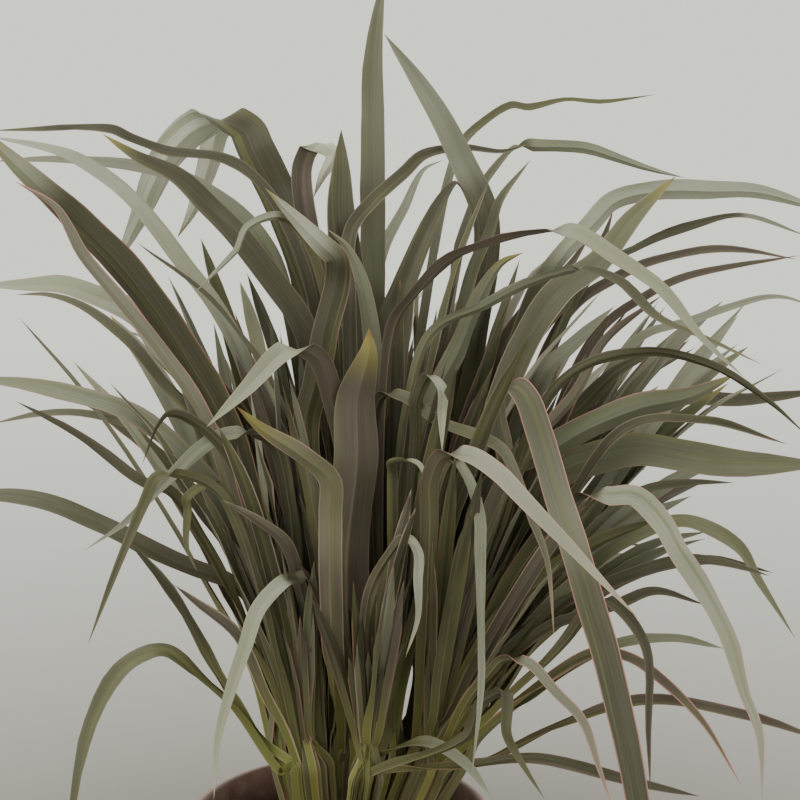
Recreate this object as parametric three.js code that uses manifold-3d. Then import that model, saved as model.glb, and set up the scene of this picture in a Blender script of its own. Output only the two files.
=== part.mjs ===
// Potted pink stripe New Zealand flax (Phormium), millimetres, +Z up.
// The origin is the middle of the pot's underside. +X is to the right of a viewer
// who looks along +Y, so -Y is the front of the plant.
//
// The plant is a clump of shoots. Each shoot is one solid: a short stout sheath that
// stands in a hole in the potting mix, and the long keeled leaves that grow out of it.
import * as THREE from "three";
import { mergeVertices } from "three/addons/utils/BufferGeometryUtils.js";
import Module from "manifold-3d";

const wasm = await Module();
wasm.setup();

// Pot
const POT_HEIGHT = 250;
const RIM_RADIUS = 140;
const BASE_RADIUS = 98;
const WALL = 2.5;
const FLOOR = 3;
const LIP_WIDTH = 9;
const LIP_DROP = 14;
const EDGE = 1.5;
const POT_SIDES = 36;
const DRAIN_HOLES = 6;
const DRAIN_RADIUS = 7;
const DRAIN_CIRCLE = 72;

// Potting mix
const SOIL_LEVEL = 205;
const SOIL_RELIEF = 2;
const SOIL_MIDDLE = 72;
const SOIL_SIDES = 28;
const GAP = 0.3;
const BARK_CHIPS = 12;
const CHIP_LENGTH = [9, 18];
const CHIP_WIDTH = [5, 9];
const CHIP_DEPTH = 4;
const CHIP_TILT = [-0.4, 0.4];
const CHIP_REACH = 112;

// Shoots: eight in an outer ring and four inside it, leaning out from one low point
const CLUMP = [11, 5];
const OUTER_SHOOTS = 8;
const OUTER_RING = 40;
const INNER_SHOOTS = 4;
const INNER_RING = 14;
const ROOT_POINT = [-7, 5, 85];
const SHEATH_TOP = 300;
const SHEATH_DEPTH = 38;
const SHEATH_FOOT = [7.5, 9.5];
const SHEATH_HEAD = [9, 19];
const SHEATH_SIDES = 8;

// Leaves
const LEAF_ROOT = 15;
const LEAF_FOOT_WIDTH = 12;
const LEAF_SPACING = 3.2;
const BROADEST = [0.4, 0.6];
const TAPER = [4, 1.8];
const HANGING = 80;
const FOOT_FOLD = 52;
const BLADE_FOLD = 16;
const SWING_FROM = 40;
const SWING_OVER = 220;
const TURN_FROM = 0.1;
const TURN_OVER = 0.5;
const FOOT_THICKNESS = 1.6;
const TIP_THICKNESS = 1.2;
const CURVE_STEPS = 16;
const STRAIGHT_RINGS = 4;
const BEND_PER_RING = 34;
const FOLD_REACH = 0.6;
const FOLD_CLEAR = 0.9;
const WIDEST_FOLD = 1.35;
const RINGS = [5, 12];
const CLEARANCE = 0.8;
const LOWEST_LEAF = 12;
const FREE_FROM = [0.07, 0.3];
const SEED = 20;

const rad = THREE.MathUtils.degToRad;
const lerp = THREE.MathUtils.lerp;
const smooth = (x) => THREE.MathUtils.smoothstep(x, 0, 1);

// A repeatable stream of numbers from 0 to 1.
function seeded(seed) {
  let state = seed >>> 0;
  return () => {
    state = (state + 0x6d2b79f5) >>> 0;
    let t = Math.imul(state ^ (state >>> 15), state | 1);
    t ^= t + Math.imul(t ^ (t >>> 7), t | 61);
    return ((t ^ (t >>> 14)) >>> 0) / 4294967296;
  };
}

const between = (random, [low, high]) => lerp(low, high, random());

// A closed three.js geometry as a solid, and a solid as a three.js geometry.
function solidFrom(geometry) {
  const plain = geometry.clone();
  plain.deleteAttribute("normal");
  plain.deleteAttribute("uv");
  const merged = mergeVertices(plain, 1e-4);
  const mesh = new wasm.Mesh({
    numProp: 3,
    vertProperties: new Float32Array(merged.attributes.position.array),
    triVerts: new Uint32Array(merged.index.array),
  });
  return new wasm.Manifold(mesh);
}

function geometryFrom(solid) {
  const mesh = solid.getMesh();
  const geometry = new THREE.BufferGeometry();
  geometry.setAttribute("position", new THREE.BufferAttribute(mesh.vertProperties, 3));
  geometry.setIndex(new THREE.BufferAttribute(mesh.triVerts, 1));
  return geometry;
}

const fuse = (solids) => wasm.Manifold.union(solids);

// The largest of the bodies that a join leaves, without the hollows it sealed.
const mainBody = (solid) => solid.decompose().reduce((a, b) => (b.volume() > a.volume() ? b : a));

// A closed surface through rings of points, which run anticlockwise as seen from the
// far end. lead(j) says whether the diagonal of side j starts at the ring's own point.
function loft(rings, caps, lead, tip) {
  const sides = rings[0].length;
  const points = rings.flat();
  const index = [];
  for (let i = 0; i + 1 < rings.length; i++) {
    for (let j = 0; j < sides; j++) {
      const a = i * sides + j;
      const b = i * sides + ((j + 1) % sides);
      const c = b + sides;
      const d = a + sides;
      if (lead(j)) index.push(a, b, c, a, c, d);
      else index.push(a, b, d, b, c, d);
    }
  }
  const last = (rings.length - 1) * sides;
  for (const [a, b, c] of caps) index.push(a, c, b);
  if (tip) {
    points.push(tip);
    for (let j = 0; j < sides; j++) index.push(last + j, last + ((j + 1) % sides), points.length - 1);
  } else {
    for (const [a, b, c] of caps) index.push(last + a, last + b, last + c);
  }
  const geometry = new THREE.BufferGeometry().setFromPoints(points);
  geometry.setIndex(index);
  return geometry;
}

// Pot: a tapered wall with a flat-topped lip that turns down outside, and drain holes.
function makePot() {
  const lipInner = RIM_RADIUS - LIP_WIDTH;
  const wallTop = lipInner + WALL;
  const profile = [
    [0, 0],
    [BASE_RADIUS - EDGE, 0],
    [BASE_RADIUS, EDGE],
    [wallTop, POT_HEIGHT - LIP_DROP / 2],
    [RIM_RADIUS - WALL, POT_HEIGHT - LIP_DROP / 2],
    [RIM_RADIUS - WALL, POT_HEIGHT - LIP_DROP],
    [RIM_RADIUS, POT_HEIGHT - LIP_DROP],
    [RIM_RADIUS, POT_HEIGHT - EDGE],
    [RIM_RADIUS - EDGE, POT_HEIGHT],
    [lipInner + EDGE, POT_HEIGHT],
    [lipInner, POT_HEIGHT - EDGE],
    [BASE_RADIUS - WALL, FLOOR],
    [0, FLOOR],
  ].map(([r, z]) => new THREE.Vector2(r, z));
  const body = solidFrom(new THREE.LatheGeometry(profile, POT_SIDES).rotateX(Math.PI / 2));
  const holes = [];
  for (let i = 0; i < DRAIN_HOLES; i++) {
    const angle = (2 * Math.PI * (i + 0.5)) / DRAIN_HOLES;
    const hole = new THREE.CylinderGeometry(DRAIN_RADIUS, DRAIN_RADIUS, 4 * FLOOR, 12);
    hole.rotateX(Math.PI / 2);
    hole.translate(DRAIN_CIRCLE * Math.cos(angle), DRAIN_CIRCLE * Math.sin(angle), 0);
    holes.push(solidFrom(hole));
  }
  return body.subtract(fuse(holes));
}

// The pot's inner radius at a height.
function innerRadius(z) {
  const share = (z - FLOOR) / (POT_HEIGHT - EDGE - FLOOR);
  return lerp(BASE_RADIUS - WALL, RIM_RADIUS - LIP_WIDTH, share);
}

// Shoots: each has a foot at soil level and an axis that leans away from the root point.
function shootFoot(k) {
  const outer = k < OUTER_SHOOTS;
  const count = outer ? OUTER_SHOOTS : INNER_SHOOTS;
  const radius = outer ? OUTER_RING : INNER_RING;
  const angle = (2 * Math.PI * (outer ? k : k - OUTER_SHOOTS + 0.5)) / count;
  return new THREE.Vector3(
    CLUMP[0] + radius * Math.cos(angle),
    CLUMP[1] + radius * Math.sin(angle),
    SOIL_LEVEL,
  );
}

function onAxis(k, z) {
  const root = new THREE.Vector3(...ROOT_POINT);
  return root.clone().lerp(shootFoot(k), (z - root.z) / (SOIL_LEVEL - root.z));
}

// The direction in which a shoot's leaves stack, away from the middle of the clump.
function outward(k) {
  const foot = shootFoot(k);
  return Math.atan2(foot.y - CLUMP[1], foot.x - CLUMP[0]);
}

// One ring of the sheath, an ellipse across the shoot's axis, long side outward. The
// sheath tapers into the soil and widens like a fan to its head, where the leaves part.
function sheathRing(k, z, spare = 0) {
  const middle = onAxis(k, z);
  const turn = outward(k);
  const share = Math.max(0, (z - SOIL_LEVEL) / (SHEATH_TOP - SOIL_LEVEL));
  const taper = Math.min(1, (z - ROOT_POINT[2]) / (SOIL_LEVEL - ROOT_POINT[2]));
  const half = SHEATH_FOOT.map((foot, i) => taper * lerp(foot, SHEATH_HEAD[i], share) + spare);
  const ring = [];
  for (let j = 0; j < SHEATH_SIDES; j++) {
    const angle = (2 * Math.PI * (j + 0.5)) / SHEATH_SIDES;
    const across = half[0] * Math.sin(angle);
    const along = half[1] * Math.cos(angle);
    const x = middle.x + along * Math.cos(turn) - across * Math.sin(turn);
    const y = middle.y + along * Math.sin(turn) + across * Math.cos(turn);
    ring.push(new THREE.Vector3(x, y, z));
  }
  return ring;
}

const fanCap = (sides) => Array.from({ length: sides - 2 }, (_, j) => [0, j + 1, j + 2]);

function sheath(k) {
  const rings = [
    sheathRing(k, SOIL_LEVEL - SHEATH_DEPTH),
    sheathRing(k, SOIL_LEVEL),
    sheathRing(k, SHEATH_TOP),
  ];
  return solidFrom(loft(rings, fanCap(SHEATH_SIDES), () => true));
}

// Potting mix: fills the pot, with a lumpy top, bark chips, and a hole for each shoot.
function soilHeight(x, y) {
  const waves = Math.sin(x / 13 + 1) * Math.cos(y / 17) + 0.6 * Math.sin(x / 7 - y / 9);
  return SOIL_LEVEL + SOIL_RELIEF * waves * smooth((Math.hypot(x, y) - SOIL_MIDDLE) / 30);
}

function makeSoil() {
  const ringAt = (radius, height) => {
    const ring = [];
    for (let j = 0; j < SOIL_SIDES; j++) {
      const angle = (2 * Math.PI * j) / SOIL_SIDES;
      const x = radius * Math.cos(angle);
      const y = radius * Math.sin(angle);
      ring.push(new THREE.Vector3(x, y, height ?? soilHeight(x, y)));
    }
    return ring;
  };
  const bottom = FLOOR + GAP;
  const shoulder = SOIL_LEVEL - 4 * SOIL_RELIEF;
  const side = innerRadius(shoulder) - 2 * GAP;
  const rings = [ringAt(innerRadius(bottom) - 2 * GAP, bottom), ringAt(side, shoulder)];
  for (const radius of [side - 1, lerp(SOIL_MIDDLE, side, 0.5), SOIL_MIDDLE]) rings.push(ringAt(radius));
  const body = solidFrom(loft(rings, fanCap(SOIL_SIDES), () => true));
  const random = seeded(SEED);
  const chips = [];
  for (let i = 0; i < BARK_CHIPS; i++) {
    const angle = 2 * Math.PI * random();
    const radius = lerp(SOIL_MIDDLE, CHIP_REACH, random());
    const x = radius * Math.cos(angle);
    const y = radius * Math.sin(angle);
    const length = between(random, CHIP_LENGTH);
    const chip = new THREE.BoxGeometry(length, between(random, CHIP_WIDTH), CHIP_DEPTH);
    chip.rotateX(between(random, CHIP_TILT));
    chip.rotateZ(Math.PI * random());
    chip.translate(x, y, soilHeight(x, y) + 0.6);
    chips.push(solidFrom(chip));
  }
  const holes = [];
  for (let k = 0; k < OUTER_SHOOTS + INNER_SHOOTS; k++) {
    const spare = 1.5 * GAP;
    const hole = [
      sheathRing(k, SOIL_LEVEL - SHEATH_DEPTH - GAP, spare),
      sheathRing(k, SOIL_LEVEL, spare),
      sheathRing(k, SOIL_LEVEL + 20, spare),
    ];
    holes.push(solidFrom(loft(hole, fanCap(SHEATH_SIDES), () => true)));
  }
  return fuse([body, ...chips]).subtract(fuse(holes));
}

// A leaf's middle line: up its shoot's axis, at its own place in the stack of leaves,
// and then through the points given, along a smooth curve.
function middleLine(leaf) {
  const side = new THREE.Vector3(Math.cos(outward(leaf.shoot)), Math.sin(outward(leaf.shoot)), 0);
  const heights = [SHEATH_TOP - LEAF_ROOT, SHEATH_TOP, SHEATH_TOP + LEAF_ROOT];
  const start = heights.map((z) => onAxis(leaf.shoot, z).addScaledVector(side, leaf.place));
  const curve = new THREE.CatmullRomCurve3([...start, ...leaf.path], false, "centripetal");
  return curve.getPoints(CURVE_STEPS * (start.length + leaf.path.length - 1));
}

// How far a leaf has turned over at a share of its length, in degrees. A leaf that shows
// its other side where it folds over has one turn up to its highest point and one after.
function turnAt({ turns }, share, top) {
  return turns[share < top ? 0 : 1] * smooth((share - TURN_FROM) / TURN_OVER);
}

// Places along a leaf's line for its cross-sections: closer where it bends, and three
// round a fold, of which the middle one is the fold itself.
function stations(leaf, line) {
  const cost = [0];
  const length = [0];
  for (let i = 1; i < line.length; i++) {
    const here = line[i].clone().sub(line[i - 1]);
    const next = line[Math.min(i + 1, line.length - 1)].clone().sub(line[i]);
    const bend = i + 1 < line.length ? here.angleTo(next) : 0;
    length.push(length[i - 1] + here.length());
    cost.push(cost[i - 1] + bend / rad(BEND_PER_RING));
  }
  const whole = length[length.length - 1];
  length.forEach((along, i) => (cost[i] += (STRAIGHT_RINGS * along) / whole));
  const highest = line.reduce((best, point, i) => (point.z > line[best].z ? i : best), 0);
  const top = length[highest];
  const stationAt = (along, isFold = false) => {
    const i = Math.max(1, length.findIndex((reached) => reached >= along));
    const share = (along - length[i - 1]) / (length[i] - length[i - 1]);
    const ahead = line[Math.min(i + 1, line.length - 1)].clone();
    return {
      point: line[i - 1].clone().lerp(line[i], share),
      tangent: ahead.sub(line[Math.max(i - 2, 0)]).normalize(),
      along,
      share: along / whole,
      top: top / whole,
      turn: rad(turnAt(leaf, along / whole, top / whole)),
      isFold,
    };
  };
  const total = cost[cost.length - 1];
  const count = THREE.MathUtils.clamp(Math.round(total), ...RINGS);
  const found = [];
  let i = 1;
  for (let n = 0; n < count; n++) {
    const goal = (total * n) / count;
    while (cost[i] < goal) i++;
    found.push(stationAt(lerp(length[i - 1], length[i], (goal - cost[i - 1]) / (cost[i] - cost[i - 1]))));
  }
  if (leaf.turns[0] === leaf.turns[1]) return found;
  const reach = FOLD_REACH * leaf.width;
  const clear = found.filter(({ along }) => Math.abs(along - top) > FOLD_CLEAR * leaf.width);
  clear.push(stationAt(top - reach), stationAt(top, true), stationAt(top + reach));
  return clear.sort((a, b) => a.along - b.along);
}

// The width of a leaf at a share of its length: narrow and clasping at the foot and
// broadest near the middle. A leaf that stands ends bluntly, and one that hangs is drawn
// out to a long point from its highest place on.
function widthAt(leaf, s, top) {
  const [from, to] = BROADEST;
  const full = lerp(LEAF_FOOT_WIDTH, leaf.width, smooth(s / from));
  const heights = leaf.path.map(({ z }) => z);
  const drop = Math.max(...heights) - heights[heights.length - 1];
  const hanging = smooth(drop / HANGING);
  const narrowing = lerp(to, Math.max(to, top), hanging);
  return full * (1 - Math.max(0, (s - narrowing) / (1 - narrowing)) ** lerp(...TAPER, hanging));
}

// The directions of a leaf at its cross-sections: across the blade, and out of its upper
// side. A leaf folds over along a slanting crease, half way between the directions before
// and after it, and the crease is longer than the blade is wide.
function frames(leaf, line) {
  const base = outward(leaf.shoot);
  const last = line[line.length - 1];
  const root = onAxis(leaf.shoot, SHEATH_TOP);
  const own = Math.atan2(last.y - root.y, last.x - root.x);
  const swing = Math.atan2(Math.sin(own - base), Math.cos(own - base));
  const found = stations(leaf, line).map((station) => {
    const { tangent, along, turn } = station;
    const heading = base + swing * smooth((along - SWING_FROM) / SWING_OVER);
    const flat = new THREE.Vector3(-Math.sin(heading), Math.cos(heading), 0);
    flat.addScaledVector(tangent, -flat.dot(tangent)).normalize();
    const face = tangent.clone().cross(flat);
    const across = flat.multiplyScalar(Math.cos(turn)).addScaledVector(face, Math.sin(turn));
    return { ...station, across, up: tangent.clone().cross(across), widening: 1 };
  });
  found.forEach((frame, i) => {
    if (!frame.isFold) return;
    frame.across = found[i - 1].across.clone().add(found[i + 1].across).normalize();
    frame.up = found[i - 1].up.clone().add(found[i + 1].up);
    frame.up.addScaledVector(frame.across, -frame.up.dot(frame.across)).normalize();
    frame.widening = Math.min(WIDEST_FOLD, 1 / Math.sin(frame.across.angleTo(frame.tangent)));
  });
  return found;
}

// A leaf: keeled strap, folded like a V at its foot and opening above. extra thickens
// and widens it, to test how clear it is of the others; from leaves out its lower part.
function blade(leaf, extra = 0, from = 0) {
  const line = middleLine(leaf);
  const rings = [];
  for (const { point, across, up, share, top, widening } of frames(leaf, line)) {
    if (share < from) continue;
    const fold = rad(lerp(FOOT_FOLD, BLADE_FOLD, smooth(share / 0.5)));
    const half = (widening * widthAt(leaf, share, top)) / 2 + extra;
    const out = half * Math.cos(fold);
    const rise = half * Math.sin(fold);
    const thickness = lerp(FOOT_THICKNESS, TIP_THICKNESS, share);
    rings.push([
      point.clone().addScaledVector(across, -out).addScaledVector(up, rise),
      point.clone().addScaledVector(up, -thickness - extra),
      point.clone().addScaledVector(across, out).addScaledVector(up, rise),
      point.clone().addScaledVector(up, extra),
    ]);
  }
  const caps = [
    [0, 1, 3],
    [1, 2, 3],
  ];
  return solidFrom(loft(rings, caps, (j) => j % 2 === 0, line[line.length - 1]));
}

// The leaves that give the plant its outline: shoot, width, turn of the blade in degrees,
// or its turns before and after its fold, and the places that it passes through to its
// tip, in whole centimetres.
const SHOWN_LEAVES = [
  // Tall and folded leaves over the middle
  [2, 26, 5, [30, 60, 710], [30, 80, 800], [30, 90, 880], [30, 110, 970], [40, 130, 1060]],
  [2, 28, 15, [120, 70, 630], [130, 80, 700], [140, 80, 760], [140, 80, 810], [120, 90, 860],
    [100, 90, 900], [70, 100, 950], [40, 100, 990]],
  [9, 34, 0, [20, 30, 680], [10, 40, 730], [0, 40, 810], [0, 50, 850], [0, 60, 890]],
  [3, 22, [15, 0], [-20, 60, 710], [-30, 70, 780], [-40, 80, 830], [-40, 90, 860], [-30, 90, 880],
    [-20, 90, 880], [-10, 90, 870], [-20, 90, 850], [-30, 100, 830]],
  [3, 40, [-50, 40], [-20, 90, 700], [-40, 100, 770], [-70, 120, 840], [-90, 120, 880],
    [-100, 130, 900], [-120, 130, 910], [-140, 140, 910], [-160, 140, 900], [-190, 150, 870],
    [-220, 160, 810], [-250, 170, 760]],
  [3, 30, [-30, 25], [-40, 140, 730], [-60, 160, 800], [-90, 170, 870], [-110, 180, 910],
    [-130, 190, 920], [-140, 190, 910], [-150, 200, 880], [-170, 210, 830], [-190, 220, 800]],
  [9, 26, -60, [-30, 20, 690], [-60, 20, 740], [-90, 20, 780], [-120, 30, 810], [-150, 30, 840],
    [-190, 30, 860], [-220, 30, 880]],
  [3, 12, -60, [-30, 40, 740], [-90, 50, 850], [-170, 60, 870], [-200, 60, 880], [-220, 60, 890],
    [-270, 60, 890], [-340, 70, 890]],
  [9, 14, 55, [10, 0, 730], [10, 30, 790], [30, 50, 820], [60, 70, 850], [80, 90, 870],
    [120, 110, 880], [160, 130, 880], [190, 140, 890]],
  [2, 10, 55, [100, 120, 830], [120, 140, 890], [140, 140, 910], [170, 150, 930], [190, 160, 930],
    [230, 170, 940], [270, 180, 940], [330, 190, 950]],
  [1, 16, [10, -55], [120, 140, 790], [150, 160, 860], [180, 160, 890], [200, 160, 890],
    [250, 170, 890], [290, 180, 880], [320, 180, 870], [360, 180, 860]],
  [8, 24, 50, [40, 40, 690], [60, 50, 740], [80, 60, 790], [100, 70, 830], [110, 70, 840],
    [120, 70, 830]],
  [2, 14, 50, [30, 90, 730], [40, 100, 780], [60, 110, 820], [80, 120, 860], [100, 120, 870]],
  [8, 14, 55, [120, 30, 740], [140, 40, 790], [150, 40, 820], [180, 50, 860]],
  [10, 26, 50, [-30, -10, 610], [-20, -20, 650], [-10, -30, 700], [0, -30, 740], [0, -40, 760],
    [-10, -40, 770], [-30, -40, 790], [-60, -50, 820]],
  [9, 18, 45, [30, 0, 700], [10, 10, 770], [-10, 10, 790]],
  [9, 10, 55, [-20, 0, 760], [-50, 0, 800], [-80, -10, 790], [-90, -10, 770], [-100, -10, 760],
    [-120, -10, 740], [-130, -10, 730]],
  // Leaves to the left
  [4, 32, 60, [-100, -20, 610], [-130, -30, 670], [-160, -40, 720], [-190, -50, 760], [-220, -50, 790],
    [-250, -60, 820], [-300, -70, 870]],
  [4, 14, 55, [-110, -40, 610], [-150, -50, 680], [-180, -60, 720], [-210, -70, 760], [-230, -80, 800],
    [-260, -90, 820]],
  [3, 18, -55, [-100, 60, 680], [-160, 70, 770], [-210, 80, 830], [-270, 90, 870], [-350, 100, 890]],
  [3, 16, -55, [-70, 100, 770], [-140, 110, 840], [-200, 110, 860], [-290, 120, 870], [-360, 130, 870]],
  [4, 26, -55, [-130, 40, 630], [-170, 40, 680], [-190, 40, 710], [-230, 30, 730], [-260, 30, 740],
    [-290, 30, 740], [-340, 30, 740]],
  [4, 12, -55, [-110, 0, 580], [-130, 0, 620], [-160, 0, 650], [-190, -10, 690], [-230, -10, 720],
    [-260, -10, 730], [-290, -10, 730]],
  [5, 20, -55, [-100, -30, 540], [-130, -40, 590], [-150, -40, 610], [-180, -40, 630],
    [-240, -50, 650], [-300, -60, 660]],
  [4, 10, -55, [-130, 30, 570], [-200, 30, 610], [-240, 30, 620], [-280, 30, 620], [-330, 30, 610]],
  [5, 10, -60, [-80, -50, 440], [-110, -60, 510], [-140, -70, 560], [-160, -80, 570], [-210, -90, 610],
    [-260, -100, 640]],
  [4, 18, -55, [-80, -20, 450], [-100, -20, 470], [-150, -20, 490], [-210, -20, 520], [-250, -30, 540],
    [-300, -30, 550], [-360, -30, 540]],
  [5, 10, 55, [-60, -50, 330], [-100, -70, 400], [-130, -90, 470], [-170, -110, 530]],
  [5, 16, [-35, -55], [-50, -60, 310], [-90, -70, 370], [-120, -80, 400], [-150, -80, 420],
    [-180, -90, 410], [-210, -100, 360], [-230, -120, 250]],
  [5, 14, [-30, -25], [-20, -70, 430], [-10, -80, 470], [-20, -90, 490], [-30, -90, 490],
    [-40, -100, 490], [-60, -110, 470], [-70, -120, 440], [-80, -130, 410], [-90, -140, 370],
    [-90, -160, 330]],
  [5, 12, 50, [-20, -60, 430], [-30, -70, 480], [-40, -90, 520], [-60, -100, 540], [-90, -110, 560]],
  [4, 14, [50, -50], [-40, -60, 550], [-50, -70, 600], [-60, -80, 610], [-90, -80, 610],
    [-110, -90, 600], [-140, -100, 570], [-170, -110, 540], [-200, -120, 520]],
  [5, 10, [55, -55], [-90, -100, 560], [-120, -110, 580], [-140, -120, 580], [-150, -120, 560],
    [-170, -130, 510], [-190, -150, 450]],
  [5, 10, [50, -40], [-80, -90, 540], [-100, -100, 570], [-120, -110, 560], [-120, -110, 550],
    [-120, -120, 520], [-110, -130, 500]],
  [5, 10, 55, [-60, -80, 390], [-80, -90, 440], [-110, -100, 470], [-130, -110, 490]],
  [4, 10, 50, [-80, -80, 580], [-110, -90, 620], [-130, -100, 630], [-140, -100, 620],
    [-150, -110, 590]],
  // Leaves in front
  [10, 20, [40, -50], [10, -50, 580], [0, -60, 630], [-10, -80, 670], [-20, -90, 680], [-40, -90, 680],
    [-70, -100, 650], [-100, -120, 620]],
  [10, 42, 0, [10, -50, 410], [10, -60, 500], [20, -70, 590], [20, -70, 640], [30, -80, 680],
    [30, -80, 700]],
  [10, 20, 25, [0, -110, 440], [0, -130, 510], [0, -130, 550], [0, -140, 580], [-20, -150, 600],
    [-50, -150, 620], [-70, -160, 640]],
  [6, 10, 0, [30, -110, 480], [50, -120, 520], [60, -120, 530], [70, -130, 520], [70, -140, 500],
    [70, -140, 470], [60, -150, 440]],
  [11, 10, -5, [50, -90, 550], [50, -100, 580], [50, -110, 590], [70, -110, 590], [80, -120, 570]],
  [11, 12, 0, [70, -80, 610], [70, -90, 640], [80, -90, 660], [90, -100, 650], [90, -100, 630],
    [90, -120, 600]],
  [6, 10, [-35, 25], [80, -80, 500], [90, -100, 570], [100, -100, 590], [110, -110, 580],
    [120, -120, 550], [120, -130, 510], [120, -140, 470], [120, -150, 420], [110, -180, 350]],
  [11, 12, [-25, 35], [30, -20, 580], [40, -40, 640], [60, -50, 640], [90, -70, 620], [120, -90, 610],
    [140, -100, 600], [150, -120, 580], [160, -140, 550], [170, -160, 520], [170, -200, 470]],
  [7, 16, [-25, 40], [80, -120, 540], [80, -140, 580], [90, -150, 600], [110, -150, 600],
    [130, -170, 590], [150, -190, 570], [180, -210, 540], [200, -240, 520], [220, -260, 500]],
  [6, 10, 50, [30, -60, 320], [50, -80, 340], [80, -90, 350], [110, -110, 340], [130, -130, 320]],
  // Leaves to the right
  [7, 24, 25, [150, -60, 580], [140, -80, 620], [140, -90, 640], [150, -90, 650], [160, -100, 640],
    [170, -110, 610], [180, -130, 570], [190, -160, 530], [200, -180, 490], [210, -200, 450],
    [220, -250, 380], [240, -320, 190]],
  [7, 20, [-60, 55], [160, -80, 500], [190, -90, 540], [210, -100, 560], [230, -100, 560],
    [250, -100, 560], [270, -110, 540], [280, -120, 520], [300, -120, 490], [320, -130, 450],
    [330, -140, 410], [340, -150, 380], [340, -160, 330]],
  [7, 10, [-55, 40], [110, -110, 390], [130, -120, 420], [140, -120, 430], [160, -130, 430],
    [180, -140, 410], [200, -150, 390], [210, -170, 360], [220, -180, 330]],
  [0, 34, 60, [160, 0, 510], [190, -10, 560], [230, -10, 580], [270, -20, 590], [340, -30, 580],
    [430, -40, 580]],
  [0, 30, -60, [150, -20, 570], [190, -20, 590], [220, -30, 610], [270, -30, 630], [310, -40, 640],
    [350, -40, 660]],
  [1, 18, 55, [240, 60, 600], [300, 70, 630], [390, 70, 630], [480, 80, 640]],
  [8, 16, [-15, 60], [50, -20, 700], [70, -30, 730], [100, -40, 760], [130, -40, 770], [170, -50, 780],
    [200, -60, 780], [230, -70, 760], [270, -80, 730], [300, -90, 690], [330, -100, 660]],
  [8, 10, [-55, 60], [80, -20, 690], [130, -40, 720], [170, -50, 740], [210, -60, 750],
    [240, -70, 740], [270, -80, 710], [310, -100, 690], [350, -110, 670]],
  [1, 22, -60, [180, 40, 720], [210, 40, 770], [240, 50, 800], [260, 50, 820], [300, 50, 830],
    [350, 50, 830], [400, 60, 830], [470, 60, 810]],
  [0, 30, 55, [160, 10, 660], [200, 10, 730], [240, 20, 760], [270, 20, 800], [310, 20, 840]],
  [1, 10, 60, [240, 70, 750], [290, 80, 780], [340, 80, 800], [390, 80, 810], [460, 90, 790]],
  [1, 12, 55, [220, 100, 710], [270, 100, 750], [320, 110, 770], [380, 110, 780], [460, 120, 770]],
  [0, 10, 55, [240, 50, 690], [290, 50, 730], [330, 60, 750], [380, 60, 760], [440, 60, 770]],
  [0, 10, 55, [270, 40, 680], [340, 40, 710], [410, 40, 730], [450, 40, 720]],
  [0, 10, -60, [190, -60, 650], [260, -70, 680], [310, -80, 670], [360, -80, 640], [390, -90, 610]],
  [0, 10, 60, [250, -40, 610], [320, -50, 620], [390, -60, 600]],
  [0, 10, 55, [210, -10, 490], [270, -10, 550], [320, -10, 560], [360, -10, 560]],
  [0, 14, 60, [230, -30, 490], [270, -40, 520], [310, -40, 530], [350, -50, 510], [370, -50, 480],
    [400, -60, 430]],
  [7, 12, 55, [200, -50, 460], [240, -60, 480], [290, -70, 500], [330, -70, 500], [370, -80, 490]],
  [7, 10, 55, [170, -90, 440], [240, -100, 470], [270, -100, 480], [310, -110, 470]],
  [7, 10, 55, [130, -60, 320], [200, -70, 360], [270, -70, 380], [350, -80, 370], [420, -90, 350]],
  [0, 10, 55, [180, -20, 370], [240, -20, 410], [300, -20, 420], [350, -20, 410]],
  [7, 10, [-55, 50], [190, -110, 440], [220, -120, 480], [250, -140, 450], [250, -160, 380],
    [250, -170, 340]],
  [6, 10, 55, [120, -90, 330], [170, -100, 340], [240, -120, 330], [300, -130, 320]],
  [6, 10, [-50, 45], [110, -130, 370], [120, -140, 400], [140, -140, 410], [140, -150, 380],
    [150, -150, 360], [170, -160, 330]],
  [7, 10, 55, [220, -70, 420], [250, -80, 420], [280, -80, 400], [310, -100, 370], [340, -110, 320]],
  // Straight leaves between them
  [8, 22, -60, [80, 0, 620], [110, 10, 680], [130, 10, 730], [150, 20, 760], [170, 20, 770]],
  [1, 18, 55, [130, 60, 630], [160, 70, 690], [190, 70, 730], [220, 80, 760], [240, 80, 790]],
  [1, 16, 55, [160, 90, 630], [190, 100, 690], [230, 100, 740], [260, 110, 790], [270, 110, 820]],
  [0, 22, 55, [170, 30, 610], [190, 30, 660], [220, 40, 690], [250, 40, 720]],
  [0, 12, -60, [170, -30, 590], [210, -30, 640], [240, -20, 690], [290, -20, 730]],
  [0, 20, 55, [190, 20, 590], [230, 30, 630], [260, 30, 660], [300, 30, 680]],
  [7, 18, -60, [140, -80, 450], [180, -80, 490], [220, -90, 520], [270, -90, 540]],
];

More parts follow.
